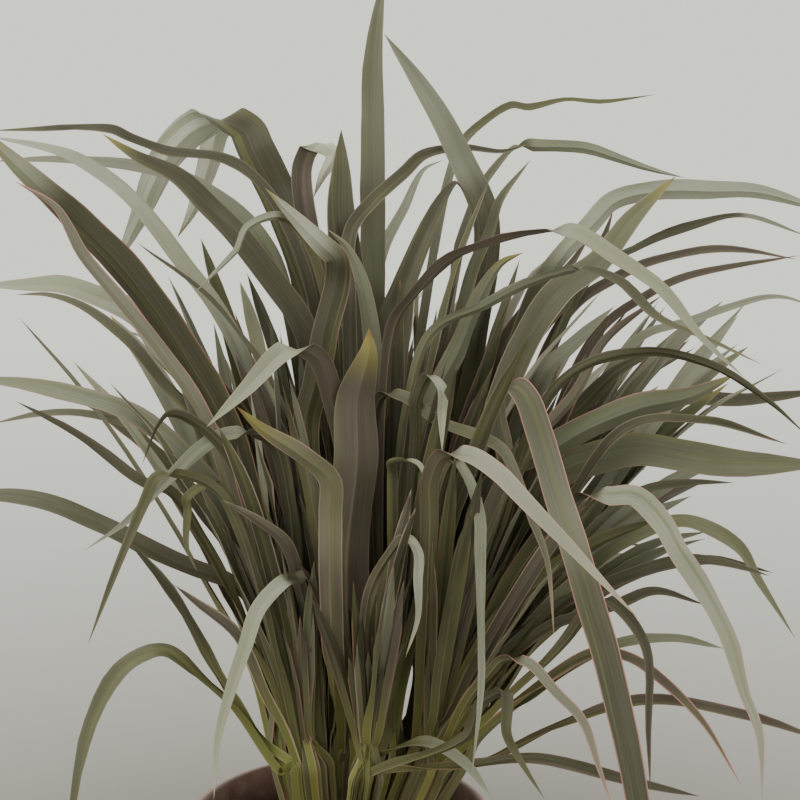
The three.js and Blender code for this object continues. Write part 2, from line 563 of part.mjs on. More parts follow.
// Leaves between and behind them, drawn at random within bounds: shoot, how many, the
// middle and spread of their headings, and their least and greatest lean, length, droop
// and width, in degrees and millimetres.
const FILLED_LEAVES = [
  [0, 2, 15, 25, [18, 38], [380, 540], [10, 50], [16, 28]],
  [0, 1, 60, 35, [14, 30], [400, 560], [20, 60], [16, 28]],
  [0, 1, 350, 20, [14, 36], [420, 540], [5, 40], [16, 28]],
  [1, 3, 35, 20, [18, 42], [420, 560], [10, 50], [16, 30]],
  [1, 4, 80, 30, [12, 42], [460, 640], [30, 110], [16, 32]],
  [2, 4, 90, 45, [10, 40], [500, 700], [40, 130], [16, 32]],
  [2, 3, 90, 60, [40, 56], [360, 520], [50, 90], [14, 28]],
  [3, 4, 105, 30, [12, 42], [460, 640], [30, 110], [16, 32]],
  [3, 2, 150, 20, [16, 34], [400, 540], [10, 50], [12, 22]],
  [3, 1, 165, 15, [6, 20], [460, 580], [5, 30], [12, 22]],
  [4, 2, 180, 25, [14, 30], [380, 480], [10, 40], [12, 20]],
  [4, 2, 125, 35, [14, 30], [400, 560], [20, 60], [14, 26]],
  [5, 3, 200, 30, [6, 20], [240, 400], [5, 30], [10, 16]],
  [6, 2, 285, 30, [6, 16], [220, 320], [5, 30], [10, 14]],
  [7, 4, 335, 40, [14, 36], [240, 400], [5, 30], [10, 18]],
  [8, 5, 45, 60, [4, 26], [380, 560], [10, 60], [14, 26]],
  [9, 5, 130, 60, [4, 26], [380, 560], [10, 60], [14, 26]],
  [10, 4, 190, 60, [4, 16], [300, 440], [5, 30], [12, 22]],
  [11, 4, 350, 60, [8, 30], [320, 500], [5, 30], [12, 22]],
];
const LEAN_SPREAD = [-5, 5];
const DRAWN_TURNS = [-50, 50];
const TRIES = 24;
const SHIFTS = [0, 10, -10, 20, -20, 30, -30, 45, -45];

// A drawn leaf's path: it leaves the sheath at its lean and droops more towards the tip.
function drawPath(shoot, lean, heading, length, droop) {
  const steps = 6;
  const point = onAxis(shoot, SHEATH_TOP + LEAF_ROOT);
  const path = [];
  for (let i = 0; i < steps; i++) {
    const share = (i + 0.5) / steps;
    const tilt = rad(lean + droop * share ** 2);
    point.x += (length / steps) * Math.sin(tilt) * Math.cos(heading);
    point.y += (length / steps) * Math.sin(tilt) * Math.sin(heading);
    point.z += (length / steps) * Math.cos(tilt);
    path.push(point.clone());
  }
  return path;
}

// Every leaf with the list of forms that it may take, best first.
function plannedLeaves() {
  const leaves = SHOWN_LEAVES.map(([shoot, width, turn, ...places]) => {
    const [rising, hanging = rising] = [turn].flat();
    const forms = SHIFTS.map((shift) => ({
      width,
      turns: [rising, hanging],
      path: places.map(([x, y, z], i) => new THREE.Vector3(x, y + (shift * (i + 1)) / places.length, z)),
    }));
    const root = onAxis(shoot, SHEATH_TOP);
    const side = outward(shoot);
    const [x, y, z] = places[0];
    const reach = (x - root.x) * Math.cos(side) + (y - root.y) * Math.sin(side);
    return { shoot, lean: Math.atan2(reach, z - root.z), forms };
  });
  const random = seeded(SEED);
  for (const [shoot, count, heading, spread, ...ranges] of FILLED_LEAVES) {
    const [leans, lengths, droops, widths] = ranges;
    for (let n = 0; n < count; n++) {
      const lean = lerp(...leans, (n + 0.5) / count);
      const forms = [];
      for (let i = 0; i < TRIES; i++) {
        const turned = rad(heading + spread * (2 * random() - 1));
        const leant = lean + between(random, LEAN_SPREAD);
        const path = drawPath(shoot, leant, turned, between(random, lengths), between(random, droops));
        const width = between(random, widths);
        const turn = between(random, DRAWN_TURNS);
        forms.push({ path, width, turns: [turn, turn] });
      }
      const outwards = Math.cos(rad(heading) - outward(shoot));
      leaves.push({ shoot, lean: rad(lean) * outwards, forms });
    }
  }
  return leaves;
}

// Leaves stack at their shoot in the order of their lean, the most upright innermost.
function stack(leaves) {
  for (let k = 0; k < OUTER_SHOOTS + INNER_SHOOTS; k++) {
    const own = leaves.filter((leaf) => leaf.shoot === k).sort((a, b) => a.lean - b.lean);
    own.forEach((leaf, i) => (leaf.place = (i - (own.length - 1) / 2) * LEAF_SPACING));
  }
}

const meets = (a, b) => {
  const [p, q] = [a.boundingBox(), b.boundingBox()];
  for (let i = 0; i < 3; i++) if (p.min[i] > q.max[i] || q.min[i] > p.max[i]) return false;
  return a.intersect(b).volume() > 0;
};

// Shoots: each leaf takes the first of its forms that stays clear of the other shoots,
// of the pot and the soil, and of its own shoot's leaves. If none does, it may cross
// its own shoot's leaves near the sheath.
function makeShoots(pot, soil) {
  const leaves = plannedLeaves();
  stack(leaves);
  const shoots = Array.from({ length: OUTER_SHOOTS + INNER_SHOOTS }, (_, k) => [sheath(k)]);
  for (const { shoot, place, forms } of leaves) {
    const isClear = (form, from) => {
      const leaf = { shoot, place, ...form };
      const guard = blade(leaf, CLEARANCE);
      if (guard.boundingBox().min[2] < LOWEST_LEAF) return false;
      if (meets(guard, pot) || meets(guard, soil)) return false;
      const above = blade(leaf, 0, from);
      return shoots.every((own, k) => !own.some((other) => meets(k === shoot ? above : guard, other)));
    };
    const clearForm = (from) => forms.find((form) => isClear(form, from));
    const form = clearForm(FREE_FROM[0]) ?? clearForm(FREE_FROM[1]);
    if (form) shoots[shoot].push(blade({ shoot, place, ...form }));
  }
  return shoots.map((solids) => mainBody(fuse(solids)));
}

const FINISHES = {
  pot: [0x9c7a6c, 0.62],
  soil: [0x2e2419, 0.95],
  shoot: [0x6f6f55, 0.5],
};

const plant = new THREE.Group();
plant.name = "potted_flax";

function addPiece(name, solid, [color, roughness]) {
  const material = new THREE.MeshStandardMaterial({ color, roughness, metalness: 0 });
  const mesh = new THREE.Mesh(geometryFrom(solid), material);
  mesh.name = name;
  plant.add(mesh);
}

const pot = makePot();
const soil = makeSoil();
addPiece("pot", pot, FINISHES.pot);
addPiece("potting_mix", soil, FINISHES.soil);
makeShoots(pot, soil).forEach((solid, k) => addPiece(`shoot_${k + 1}`, solid, FINISHES.shoot));

export default plant;
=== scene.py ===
# %% [markdown]
# # Potted pink stripe New Zealand flax
# A flax is a clump of shoots. Each shoot is a flat fan of long leaves, folded like a V
# at the foot, where each clasps the next, and opening to a broad strap above. The upper
# side is dark olive, the underside pale and waxy, and the margins are thin pink lines.
# The packed model gives every shoot as one plain solid in a pot of bark mix. Here each
# of them is dressed: same places and same sizes, with the finer form and the finish.

# %% Load the packed model
import math

import bmesh
import bpy
import numpy as np
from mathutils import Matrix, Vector, kdtree, noise


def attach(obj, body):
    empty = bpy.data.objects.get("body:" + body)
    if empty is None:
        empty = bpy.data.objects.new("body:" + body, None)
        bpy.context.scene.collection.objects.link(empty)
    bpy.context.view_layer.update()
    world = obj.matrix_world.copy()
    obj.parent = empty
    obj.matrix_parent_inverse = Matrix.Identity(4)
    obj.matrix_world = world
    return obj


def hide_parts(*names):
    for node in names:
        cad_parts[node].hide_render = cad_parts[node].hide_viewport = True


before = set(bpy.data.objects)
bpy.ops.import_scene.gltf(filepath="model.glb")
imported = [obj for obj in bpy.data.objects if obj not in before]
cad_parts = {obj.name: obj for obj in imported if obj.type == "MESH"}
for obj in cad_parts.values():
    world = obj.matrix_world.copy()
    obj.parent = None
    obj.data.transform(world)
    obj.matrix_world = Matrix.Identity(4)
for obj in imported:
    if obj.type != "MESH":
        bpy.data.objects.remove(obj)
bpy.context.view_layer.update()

print("packed pieces:", sorted(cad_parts))

# %% [markdown]
# ## The view
# The photograph looks almost level at the plant, from about a metre away and a little
# above its middle, so that the rim of the pot shows as a narrow oval at the bottom edge.
# A 49.5 mm lens on a 36 mm sensor gives the same spread of view.

# %% Camera
EYE = (0.056, -1.002, 0.696)
LOOKS_DOWN = 3.5


def into_scene(name, data):
    """A new object that holds the data, linked into the scene."""
    made = bpy.data.objects.new(name, data)
    bpy.context.scene.collection.objects.link(made)
    return made


lens = bpy.data.cameras.new("view")
lens.lens = 49.5
lens.sensor_width = 36
lens.clip_start = 0.01
camera = into_scene("view", lens)
camera.location = EYE
camera.rotation_euler = (math.radians(90 - LOOKS_DOWN), 0, 0)
bpy.context.scene.camera = camera
print("camera at", tuple(round(v, 3) for v in camera.location))

# %% [markdown]
# ## Writing node trees as sums
# A material or a Geometry Nodes tree is a board of small machines with wires between
# them. Two classes keep it readable: Wire is one outgoing socket and understands
# + - * /, and Board adds any node by its type, its settings and what goes into it.

# %% Wires and boards
def flat_colour(red, green, blue):
    """A colour given as it looks on a screen, 0 to 255, as the light it stands for."""
    parts = (red / 255, green / 255, blue / 255)
    lit = [p / 12.92 if p <= 0.04045 else ((p + 0.055) / 1.055) ** 2.4 for p in parts]
    return (*lit, 1.0)


class Wire:
    """One outgoing socket. The signs + - * / on it add Math nodes to its board."""

    def __init__(self, board, socket):
        self.board = board
        self.socket = socket

    def other(self, name):
        """Another outgoing socket of the same node."""
        return Wire(self.board, self.socket.node.outputs[name])


def sign_for(operation, swapped):
    """What a sign does between a wire and a number, or between two wires."""
    def result(wire, other):
        return wire.board.sum(operation, *((other, wire) if swapped else (wire, other)))
    return result


for sign, operation in (("add", "ADD"), ("sub", "SUBTRACT"), ("mul", "MULTIPLY"), ("truediv", "DIVIDE")):
    setattr(Wire, f"__{sign}__", sign_for(operation, False))
    setattr(Wire, f"__r{sign}__", sign_for(operation, True))


class Board:
    """A node tree that nodes are added to by type, settings and inputs."""

    def __init__(self, tree):
        self.tree = tree
        tree.nodes.clear()

    def node(self, kind, inputs=None, out=0, **settings):
        made = self.tree.nodes.new(kind)
        for name, value in settings.items():
            setattr(made, name, value)
        for name, value in (inputs or {}).items():
            self.feed(made.inputs[name], value)
        return Wire(self, made.outputs[out])

    def feed(self, socket, value):
        if isinstance(value, Wire):
            self.tree.links.new(value.socket, socket)
        else:
            socket.default_value = value

    def sum(self, operation, *values):
        return self.node("ShaderNodeMath", dict(enumerate(values)), operation=operation)

    def vector(self, operation, *values, out=0):
        return self.node("ShaderNodeVectorMath", dict(enumerate(values)), out, operation=operation)

    def xyz(self, x, y, z):
        return self.node("ShaderNodeCombineXYZ", {0: x, 1: y, 2: z})

    def ease(self, value, low, high, start=0.0, end=1.0):
        """start below low, end above high, and a soft curve between them."""
        inputs = {"Value": value, "From Min": low, "From Max": high, "To Min": start, "To Max": end}
        return self.node("ShaderNodeMapRange", inputs, interpolation_type="SMOOTHSTEP")

    def blend(self, share, first, second):
        """A colour between two, each of them a wire or three numbers from 0 to 255."""
        made = self.tree.nodes.new("ShaderNodeMix")
        made.data_type = "RGBA"
        colours = [c if isinstance(c, Wire) else flat_colour(*c) for c in (first, second)]
        for index, value in ((0, share), (6, colours[0]), (7, colours[1])):
            self.feed(made.inputs[index], value)
        return Wire(self, made.outputs[2])

    def layered(self, body, layers):
        """A colour with others laid over it: each layer is how much of it shows, and its colour."""
        for share, colour in layers:
            body = self.blend(share, body, colour)
        return body


print("a mid grey of 128 is", round(flat_colour(128, 128, 128)[0], 3), "of full light")

# %% [markdown]
# ## Finishes
# A finish is a board that ends in one Principled surface. Noises and the measures that a
# mesh carries go in, and colour, roughness and a fine relief come out.

# %% Finishes
class Finish(Board):
    """A material whose surface is one Principled shader."""

    def __init__(self, name, roughness=0.5):
        self.material = bpy.data.materials.new(name)
        self.material.use_nodes = True
        super().__init__(self.material.node_tree)
        self.surface = self.tree.nodes.new("ShaderNodeBsdfPrincipled")
        self.surface.inputs["Roughness"].default_value = roughness
        out = self.tree.nodes.new("ShaderNodeOutputMaterial")
        self.tree.links.new(self.surface.outputs[0], out.inputs[0])

    def attribute(self, name, out="Fac"):
        return self.node("ShaderNodeAttribute", out=out, attribute_name=name)

    def noise(self, place, scale, detail=3.0, roughness=0.5):
        inputs = {"Vector": place, "Scale": scale, "Detail": detail, "Roughness": roughness}
        return self.node("ShaderNodeTexNoise", inputs)

    def place(self):
        return self.node("ShaderNodeTexCoord", out="Object")

    def paint(self, colour, roughness, height, depth):
        """Colour and roughness of the surface, and a relief of the given depth."""
        self.feed(self.surface.inputs["Base Color"], colour)
        self.feed(self.surface.inputs["Roughness"], roughness)
        bump = self.node("ShaderNodeBump", {"Height": height, "Distance": depth})
        self.feed(self.surface.inputs["Normal"], bump)
        return self.material


print("a finish has", ", ".join(name for name in vars(Finish) if not name.startswith("_")))

# %% [markdown]
# ## Where the shoots stand
# The dressed leaves have to lie where the packed solids are, so the rules that laid out
# the plant are repeated here: twelve shoots, eight round four, that lean away from one
# point low in the pot, and a repeatable stream of numbers for what is drawn by chance.
# Lengths in these rules are millimetres, and the finished meshes are in metres.

# %% Shoots and repeatable chance
PER_METRE = 1000
SOIL_LEVEL = 205
SHEATH_TOP = 300
CLUMP = np.array([11.0, 5.0])
ROOT_POINT = np.array([-7.0, 5.0, 85.0])
SHOOTS = 12
OUTER_SHOOTS = 8
OUTER_RADIUS = 40
INNER_RADIUS = 14
WORD = 0xFFFFFFFF


def chance(seed):
    """A repeatable stream of numbers from 0 to 1."""
    state = seed & WORD
    while True:
        state = (state + 0x6D2B79F5) & WORD
        t = ((state ^ (state >> 15)) * (state | 1)) & WORD
        t ^= (t + (((t ^ (t >> 7)) * (t | 61)) & WORD)) & WORD
        yield ((t ^ (t >> 14)) & WORD) / (WORD + 1)


def draw(stream, low, high):
    return low + (high - low) * next(stream)


def ease(x):
    """0 below 0, 1 above 1, and a soft curve between them."""
    x = min(max(x, 0.0), 1.0)
    return x * x * (3 - 2 * x)


def shoot_foot(k):
    outer = k < OUTER_SHOOTS
    angle = 2 * math.pi * (k / OUTER_SHOOTS if outer else (k - OUTER_SHOOTS + 0.5) / (SHOOTS - OUTER_SHOOTS))
    radius = OUTER_RADIUS if outer else INNER_RADIUS
    return np.array([CLUMP[0] + radius * math.cos(angle), CLUMP[1] + radius * math.sin(angle), SOIL_LEVEL])


def on_axis(k, z):
    return ROOT_POINT + (shoot_foot(k) - ROOT_POINT) * (z - ROOT_POINT[2]) / (SOIL_LEVEL - ROOT_POINT[2])


def outward(k):
    foot = shoot_foot(k)
    return math.atan2(foot[1] - CLUMP[1], foot[0] - CLUMP[0])


print("first shoot stands at", shoot_foot(0).round(1), "mm")

# %% [markdown]
# ## The leaves of the photograph
# Each row is a shoot, the leaf's width in millimetres, the turn of its blade in degrees,
# its colouring, the centimetres of its tip that have yellowed, how strong its margin is,
# and the places that it passes through, in centimetres. A colouring says how pale, how
# bronze and how green a leaf is, and a pale of less than 0 makes it darker. Where a leaf
# folds over, its turn and its colouring may change there, because the other side of the
# blade comes to the light. A third item in a colouring is the share of the leaf's length
# at which it changes instead.

# %% Leaves that give the plant its outline
# The first colouring here has a pale above 1, which is painted light: it brightens folded lobes past the colour of
# their wax.
WAX_AND_PAINTED_LIGHT = (1.6, 0.1, 0.1)
PALE = (1.0, 0.1, 0.1)
ASH = (0.78, 0.1, 0.15)
GREY = (0.6, 0.15, 0.15)
OLIVE = (0.3, 0.2, 0.45)
GREEN = (0.25, 0.0, 1.0)
BRONZE = (0.15, 1.0, 0.0)
ROSE = (0.4, 0.9, 0.0)
# A pale below 0 makes a leaf darker than olive: partly its own dark upper side, partly painted shade.
DARK = (-0.2, 0.25, 0.25)
SHOWN_LEAVES = [
    # Tall and folded leaves over the middle
    [2, 26, 5, OLIVE, 0, 0.2, (3, 6, 71), (3, 8, 80), (3, 9, 88), (3, 11, 97), (4, 13, 106)],
    [2, 28, 15, [DARK, GREY, 0.75], 0, 0.2, (12, 7, 63), (13, 8, 70), (14, 8, 76), (14, 8, 81),
        (12, 9, 86), (10, 9, 90), (7, 10, 95), (4, 10, 99)],
    [9, 34, 0, DARK, 0.5, 0.4, (2, 3, 68), (1, 4, 73), (0, 4, 81), (0, 5, 85), (0, 6, 89)],
    [3, 22, [15, 0], [BRONZE, WAX_AND_PAINTED_LIGHT], 1, 0.8, (-2, 6, 71), (-3, 7, 78), (-4, 8, 83), (-4, 9, 86),
        (-3, 9, 88), (-2, 9, 88), (-1, 9, 87), (-2, 9, 85), (-3, 10, 83)],
    [3, 40, [-50, 40], [DARK, WAX_AND_PAINTED_LIGHT], 1, 0.1, (-2, 9, 70), (-4, 10, 77), (-7, 12, 84), (-9, 12, 88),
        (-10, 13, 90), (-12, 13, 91), (-14, 14, 91), (-16, 14, 90), (-19, 15, 87), (-22, 16, 81),
        (-25, 17, 76)],
    [3, 30, [-30, 25], [DARK, WAX_AND_PAINTED_LIGHT], 2, 0.1, (-4, 14, 73), (-6, 16, 80), (-9, 17, 87), (-11, 18, 91),
        (-13, 19, 92), (-14, 19, 91), (-15, 20, 88), (-17, 21, 83), (-19, 22, 80)],
    [9, 26, -60, DARK, 3.5, 0.2, (-3, 2, 69), (-6, 2, 74), (-9, 2, 78), (-12, 3, 81), (-15, 3, 84),
        (-19, 3, 86), (-22, 3, 88)],
    [3, 12, -60, DARK, 0, 0.2, (-3, 4, 74), (-9, 5, 85), (-17, 6, 87), (-20, 6, 88), (-22, 6, 89),
        (-27, 6, 89), (-34, 7, 89)],
    [9, 14, 55, DARK, 0, 0.3, (1, 0, 73), (1, 3, 79), (3, 5, 82), (6, 7, 85), (8, 9, 87), (12, 11, 88),
        (16, 13, 88), (19, 14, 89)],
    [2, 10, 55, [GREY, DARK, 0.75], 0, 0.1, (10, 12, 83), (12, 14, 89), (14, 14, 91), (17, 15, 93),
        (19, 16, 93), (23, 17, 94), (27, 18, 94), (33, 19, 95)],
    [1, 16, [10, -55], [OLIVE, GREY], 0, 0.1, (12, 14, 79), (15, 16, 86), (18, 16, 89), (20, 16, 89),
        (25, 17, 89), (29, 18, 88), (32, 18, 87), (36, 18, 86)],
    [8, 24, 50, DARK, 0, 0.1, (4, 4, 69), (6, 5, 74), (8, 6, 79), (10, 7, 83), (11, 7, 84), (12, 7, 83)],
    [2, 14, 50, PALE, 0, 0.1, (3, 9, 73), (4, 10, 78), (6, 11, 82), (8, 12, 86), (10, 12, 87)],
    [8, 14, 55, OLIVE, 0, 0.2, (12, 3, 74), (14, 4, 79), (15, 4, 82), (18, 5, 86)],
    [10, 26, 50, [DARK, PALE, 0.87], 2, 0.4, (-3, -1, 61), (-2, -2, 65), (-1, -3, 70), (0, -3, 74),
        (0, -4, 76), (-1, -4, 77), (-3, -4, 79), (-6, -5, 82)],
    [9, 18, 45, OLIVE, 0, 0.4, (3, 0, 70), (1, 1, 77), (-1, 1, 79)],
    [9, 10, 55, [DARK, PALE], 0, 0.1, (-2, 0, 76), (-5, 0, 80), (-8, -1, 79), (-9, -1, 77),
        (-10, -1, 76), (-12, -1, 74), (-13, -1, 73)],
    # Leaves to the left
    [4, 32, 60, [DARK, GREY, 0.88], 4, 0.7, (-10, -2, 61), (-13, -3, 67), (-16, -4, 72), (-19, -5, 76),
        (-22, -5, 79), (-25, -6, 82), (-30, -7, 87)],
    [4, 14, 55, ROSE, 0, 1, (-11, -4, 61), (-15, -5, 68), (-18, -6, 72), (-21, -7, 76), (-23, -8, 80),
        (-26, -9, 82)],
    [3, 18, -55, PALE, 0, 0.2, (-10, 6, 68), (-16, 7, 77), (-21, 8, 83), (-27, 9, 87), (-35, 10, 89)],
    [3, 16, -55, GREY, 0, 0.1, (-7, 10, 77), (-14, 11, 84), (-20, 11, 86), (-29, 12, 87), (-36, 13, 87)],
    [4, 26, -55, PALE, 0, 0.2, (-13, 4, 63), (-17, 4, 68), (-19, 4, 71), (-23, 3, 73), (-26, 3, 74),
        (-29, 3, 74), (-34, 3, 74)],
    [4, 12, -55, OLIVE, 0, 0.3, (-11, 0, 58), (-13, 0, 62), (-16, 0, 65), (-19, -1, 69), (-23, -1, 72),
        (-26, -1, 73), (-29, -1, 73)],
    [5, 20, -55, GREY, 0, 0.5, (-10, -3, 54), (-13, -4, 59), (-15, -4, 61), (-18, -4, 63),
        (-24, -5, 65), (-30, -6, 66)],
    [4, 10, -55, OLIVE, 0, 0.2, (-13, 3, 57), (-20, 3, 61), (-24, 3, 62), (-28, 3, 62), (-33, 3, 61)],
    [5, 10, -60, DARK, 0, 0.1, (-8, -5, 44), (-11, -6, 51), (-14, -7, 56), (-16, -8, 57), (-21, -9, 61),
        (-26, -10, 64)],
    [4, 18, -55, [DARK, OLIVE, 0.6], 0, 0.1, (-8, -2, 45), (-10, -2, 47), (-15, -2, 49), (-21, -2, 52),
        (-25, -3, 54), (-30, -3, 55), (-36, -3, 54)],
    [5, 10, 55, DARK, 0, 0.2, (-6, -5, 33), (-10, -7, 40), (-13, -9, 47), (-17, -11, 53)],
    [5, 16, [-35, -55], OLIVE, 0, 0.1, (-5, -6, 31), (-9, -7, 37), (-12, -8, 40), (-15, -8, 42),
        (-18, -9, 41), (-21, -10, 36), (-23, -12, 25)],
    [5, 14, [-30, -25], [DARK, ASH], 0, 0.1, (-2, -7, 43), (-1, -8, 47), (-2, -9, 49), (-3, -9, 49),
        (-4, -10, 49), (-6, -11, 47), (-7, -12, 44), (-8, -13, 41), (-9, -14, 37), (-9, -16, 33)],
    [5, 12, 50, BRONZE, 0, 0.3, (-2, -6, 43), (-3, -7, 48), (-4, -9, 52), (-6, -10, 54), (-9, -11, 56)],
    [4, 14, [50, -50], [DARK, GREY], 0, 0.2, (-4, -6, 55), (-5, -7, 60), (-6, -8, 61), (-9, -8, 61),
        (-11, -9, 60), (-14, -10, 57), (-17, -11, 54), (-20, -12, 52)],
    [5, 10, [55, -55], DARK, 0, 0.1, (-9, -10, 56), (-12, -11, 58), (-14, -12, 58), (-15, -12, 56),
        (-17, -13, 51), (-19, -15, 45)],
    [5, 10, [50, -40], DARK, 0, 0.1, (-8, -9, 54), (-10, -10, 57), (-12, -11, 56), (-12, -11, 55),
        (-12, -12, 52), (-11, -13, 50)],
    [5, 10, 55, BRONZE, 0, 1, (-6, -8, 39), (-8, -9, 44), (-11, -10, 47), (-13, -11, 49)],
    [4, 10, 50, DARK, 0, 0.1, (-8, -8, 58), (-11, -9, 62), (-13, -10, 63), (-14, -10, 62), (-15, -11, 59)],
    # Leaves in front
    [10, 20, [40, -50], [BRONZE, ASH], 0.5, 0.5, (1, -5, 58), (0, -6, 63), (-1, -8, 67), (-2, -9, 68),
        (-4, -9, 68), (-7, -10, 65), (-10, -12, 62)],
    [10, 42, 0, BRONZE, 4.5, 0.3, (1, -5, 41), (1, -6, 50), (2, -7, 59), (2, -7, 64), (3, -8, 68),
        (3, -8, 70)],
    [10, 20, 25, BRONZE, 5, 0.6, (0, -11, 44), (0, -13, 51), (0, -13, 55), (0, -14, 58), (-2, -15, 60),
        (-5, -15, 62), (-7, -16, 64)],
    [6, 10, 0, [BRONZE, ASH], 1, 0.3, (3, -11, 48), (5, -12, 52), (6, -12, 53), (7, -13, 52),
        (7, -14, 50), (7, -14, 47), (6, -15, 44)],
    [11, 10, -5, [DARK, ASH], 0, 0.1, (5, -9, 55), (5, -10, 58), (5, -11, 59), (7, -11, 59), (8, -12, 57)],
    [11, 12, 0, [DARK, ASH], 0, 0.1, (7, -8, 61), (7, -9, 64), (8, -9, 66), (9, -10, 65), (9, -10, 63),
        (9, -12, 60)],
    [6, 10, [-35, 25], [DARK, GREY], 0, 0.1, (8, -8, 50), (9, -10, 57), (10, -10, 59), (11, -11, 58),
        (12, -12, 55), (12, -13, 51), (12, -14, 47), (12, -15, 42), (11, -18, 35)],
    [11, 12, [-25, 35], [DARK, OLIVE], 1.5, 0.3, (3, -2, 58), (4, -4, 64), (6, -5, 64), (9, -7, 62),
        (12, -9, 61), (14, -10, 60), (15, -12, 58), (16, -14, 55), (17, -16, 52), (17, -20, 47)],
    [7, 16, [-25, 40], [DARK, ASH], 1.5, 0.5, (8, -12, 54), (8, -14, 58), (9, -15, 60), (11, -15, 60),
        (13, -17, 59), (15, -19, 57), (18, -21, 54), (20, -24, 52), (22, -26, 50)],
    [6, 10, 50, GREY, 0, 0.1, (3, -6, 32), (5, -8, 34), (8, -9, 35), (11, -11, 34), (13, -13, 32)],
    # Leaves to the right
    [7, 24, 25, [GREY, DARK, 0.62], 0, 0.9, (15, -6, 58), (14, -8, 62), (14, -9, 64), (15, -9, 65),
        (16, -10, 64), (17, -11, 61), (18, -13, 57), (19, -16, 53), (20, -18, 49), (21, -20, 45),
        (22, -25, 38), (24, -32, 19)],
    [7, 20, [-60, 55], [DARK, ASH], 0, 0.8, (16, -8, 50), (19, -9, 54), (21, -10, 56), (23, -10, 56),
        (25, -10, 56), (27, -11, 54), (28, -12, 52), (30, -12, 49), (32, -13, 45), (33, -14, 41),
        (34, -15, 38), (34, -16, 33)],
    [7, 10, [-55, 40], [DARK, GREY], 0, 0.8, (11, -11, 39), (13, -12, 42), (14, -12, 43), (16, -13, 43),
        (18, -14, 41), (20, -15, 39), (21, -17, 36), (22, -18, 33)],
    [0, 34, 60, OLIVE, 0, 0.2, (16, 0, 51), (19, -1, 56), (23, -1, 58), (27, -2, 59), (34, -3, 58),
        (43, -4, 58)],
    [0, 30, -60, OLIVE, 2, 0.6, (15, -2, 57), (19, -2, 59), (22, -3, 61), (27, -3, 63), (31, -4, 64),
        (35, -4, 66)],
    [1, 18, 55, DARK, 0, 0.2, (24, 6, 60), (30, 7, 63), (39, 7, 63), (48, 8, 64)],
    [8, 16, [-15, 60], [BRONZE, ASH], 0, 0.2, (5, -2, 70), (7, -3, 73), (10, -4, 76), (13, -4, 77),
        (17, -5, 78), (20, -6, 78), (23, -7, 76), (27, -8, 73), (30, -9, 69), (33, -10, 66)],
    [8, 10, [-55, 60], OLIVE, 1, 0.2, (8, -2, 69), (13, -4, 72), (17, -5, 74), (21, -6, 75),
        (24, -7, 74), (27, -8, 71), (31, -10, 69), (35, -11, 67)],
    [1, 22, -60, [DARK, PALE, 0.62], 0, 0.2, (18, 4, 72), (21, 4, 77), (24, 5, 80), (26, 5, 82),
        (30, 5, 83), (35, 5, 83), (40, 6, 83), (47, 6, 81)],
    [0, 30, 55, OLIVE, 4, 0.5, (16, 1, 66), (20, 1, 73), (24, 2, 76), (27, 2, 80), (31, 2, 84)],
    [1, 10, 60, [DARK, GREY], 0, 0.1, (24, 7, 75), (29, 8, 78), (34, 8, 80), (39, 8, 81), (46, 9, 79)],
    [1, 12, 55, BRONZE, 0, 0.4, (22, 10, 71), (27, 10, 75), (32, 11, 77), (38, 11, 78), (46, 12, 77)],
    [0, 10, 55, BRONZE, 0, 0.2, (24, 5, 69), (29, 5, 73), (33, 6, 75), (38, 6, 76), (44, 6, 77)],
    [0, 10, 55, GREY, 0, 0.2, (27, 4, 68), (34, 4, 71), (41, 4, 73), (45, 4, 72)],
    [0, 10, -60, DARK, 0, 0.1, (19, -6, 65), (26, -7, 68), (31, -8, 67), (36, -8, 64), (39, -9, 61)],
    [0, 10, 60, DARK, 0, 0.3, (25, -4, 61), (32, -5, 62), (39, -6, 60)],
    [0, 10, 55, OLIVE, 0, 0.2, (21, -1, 49), (27, -1, 55), (32, -1, 56), (36, -1, 56)],
    [0, 14, 60, OLIVE, 0, 0.2, (23, -3, 49), (27, -4, 52), (31, -4, 53), (35, -5, 51), (37, -5, 48),
        (40, -6, 43)],
    [7, 12, 55, DARK, 0, 0.2, (20, -5, 46), (24, -6, 48), (29, -7, 50), (33, -7, 50), (37, -8, 49)],
    [7, 10, 55, DARK, 0, 0.1, (17, -9, 44), (24, -10, 47), (27, -10, 48), (31, -11, 47)],
    [7, 10, 55, BRONZE, 0, 0.3, (13, -6, 32), (20, -7, 36), (27, -7, 38), (35, -8, 37), (42, -9, 35)],
    [0, 10, 55, GREY, 0, 0.1, (18, -2, 37), (24, -2, 41), (30, -2, 42), (35, -2, 41)],
    [7, 10, [-55, 50], DARK, 0, 0.2, (19, -11, 44), (22, -12, 48), (25, -14, 45), (25, -16, 38),
        (25, -17, 34)],
    [6, 10, 55, DARK, 0, 0.2, (12, -9, 33), (17, -10, 34), (24, -12, 33), (30, -13, 32)],
    [6, 10, [-50, 45], DARK, 0, 0.1, (11, -13, 37), (12, -14, 40), (14, -14, 41), (14, -15, 38),
        (15, -15, 36), (17, -16, 33)],
    [7, 10, 55, BRONZE, 0, 1, (22, -7, 42), (25, -8, 42), (28, -8, 40), (31, -10, 37), (34, -11, 32)],
    # Straight leaves between them
    [8, 22, -60, OLIVE, 3, 0.2, (8, 0, 62), (11, 1, 68), (13, 1, 73), (15, 2, 76), (17, 2, 77)],
    [1, 18, 55, BRONZE, 0, 0.3, (13, 6, 63), (16, 7, 69), (19, 7, 73), (22, 8, 76), (24, 8, 79)],
    [1, 16, 55, BRONZE, 0, 0.2, (16, 9, 63), (19, 10, 69), (23, 10, 74), (26, 11, 79), (27, 11, 82)],
    [0, 22, 55, GREY, 0, 0.2, (17, 3, 61), (19, 3, 66), (22, 4, 69), (25, 4, 72)],
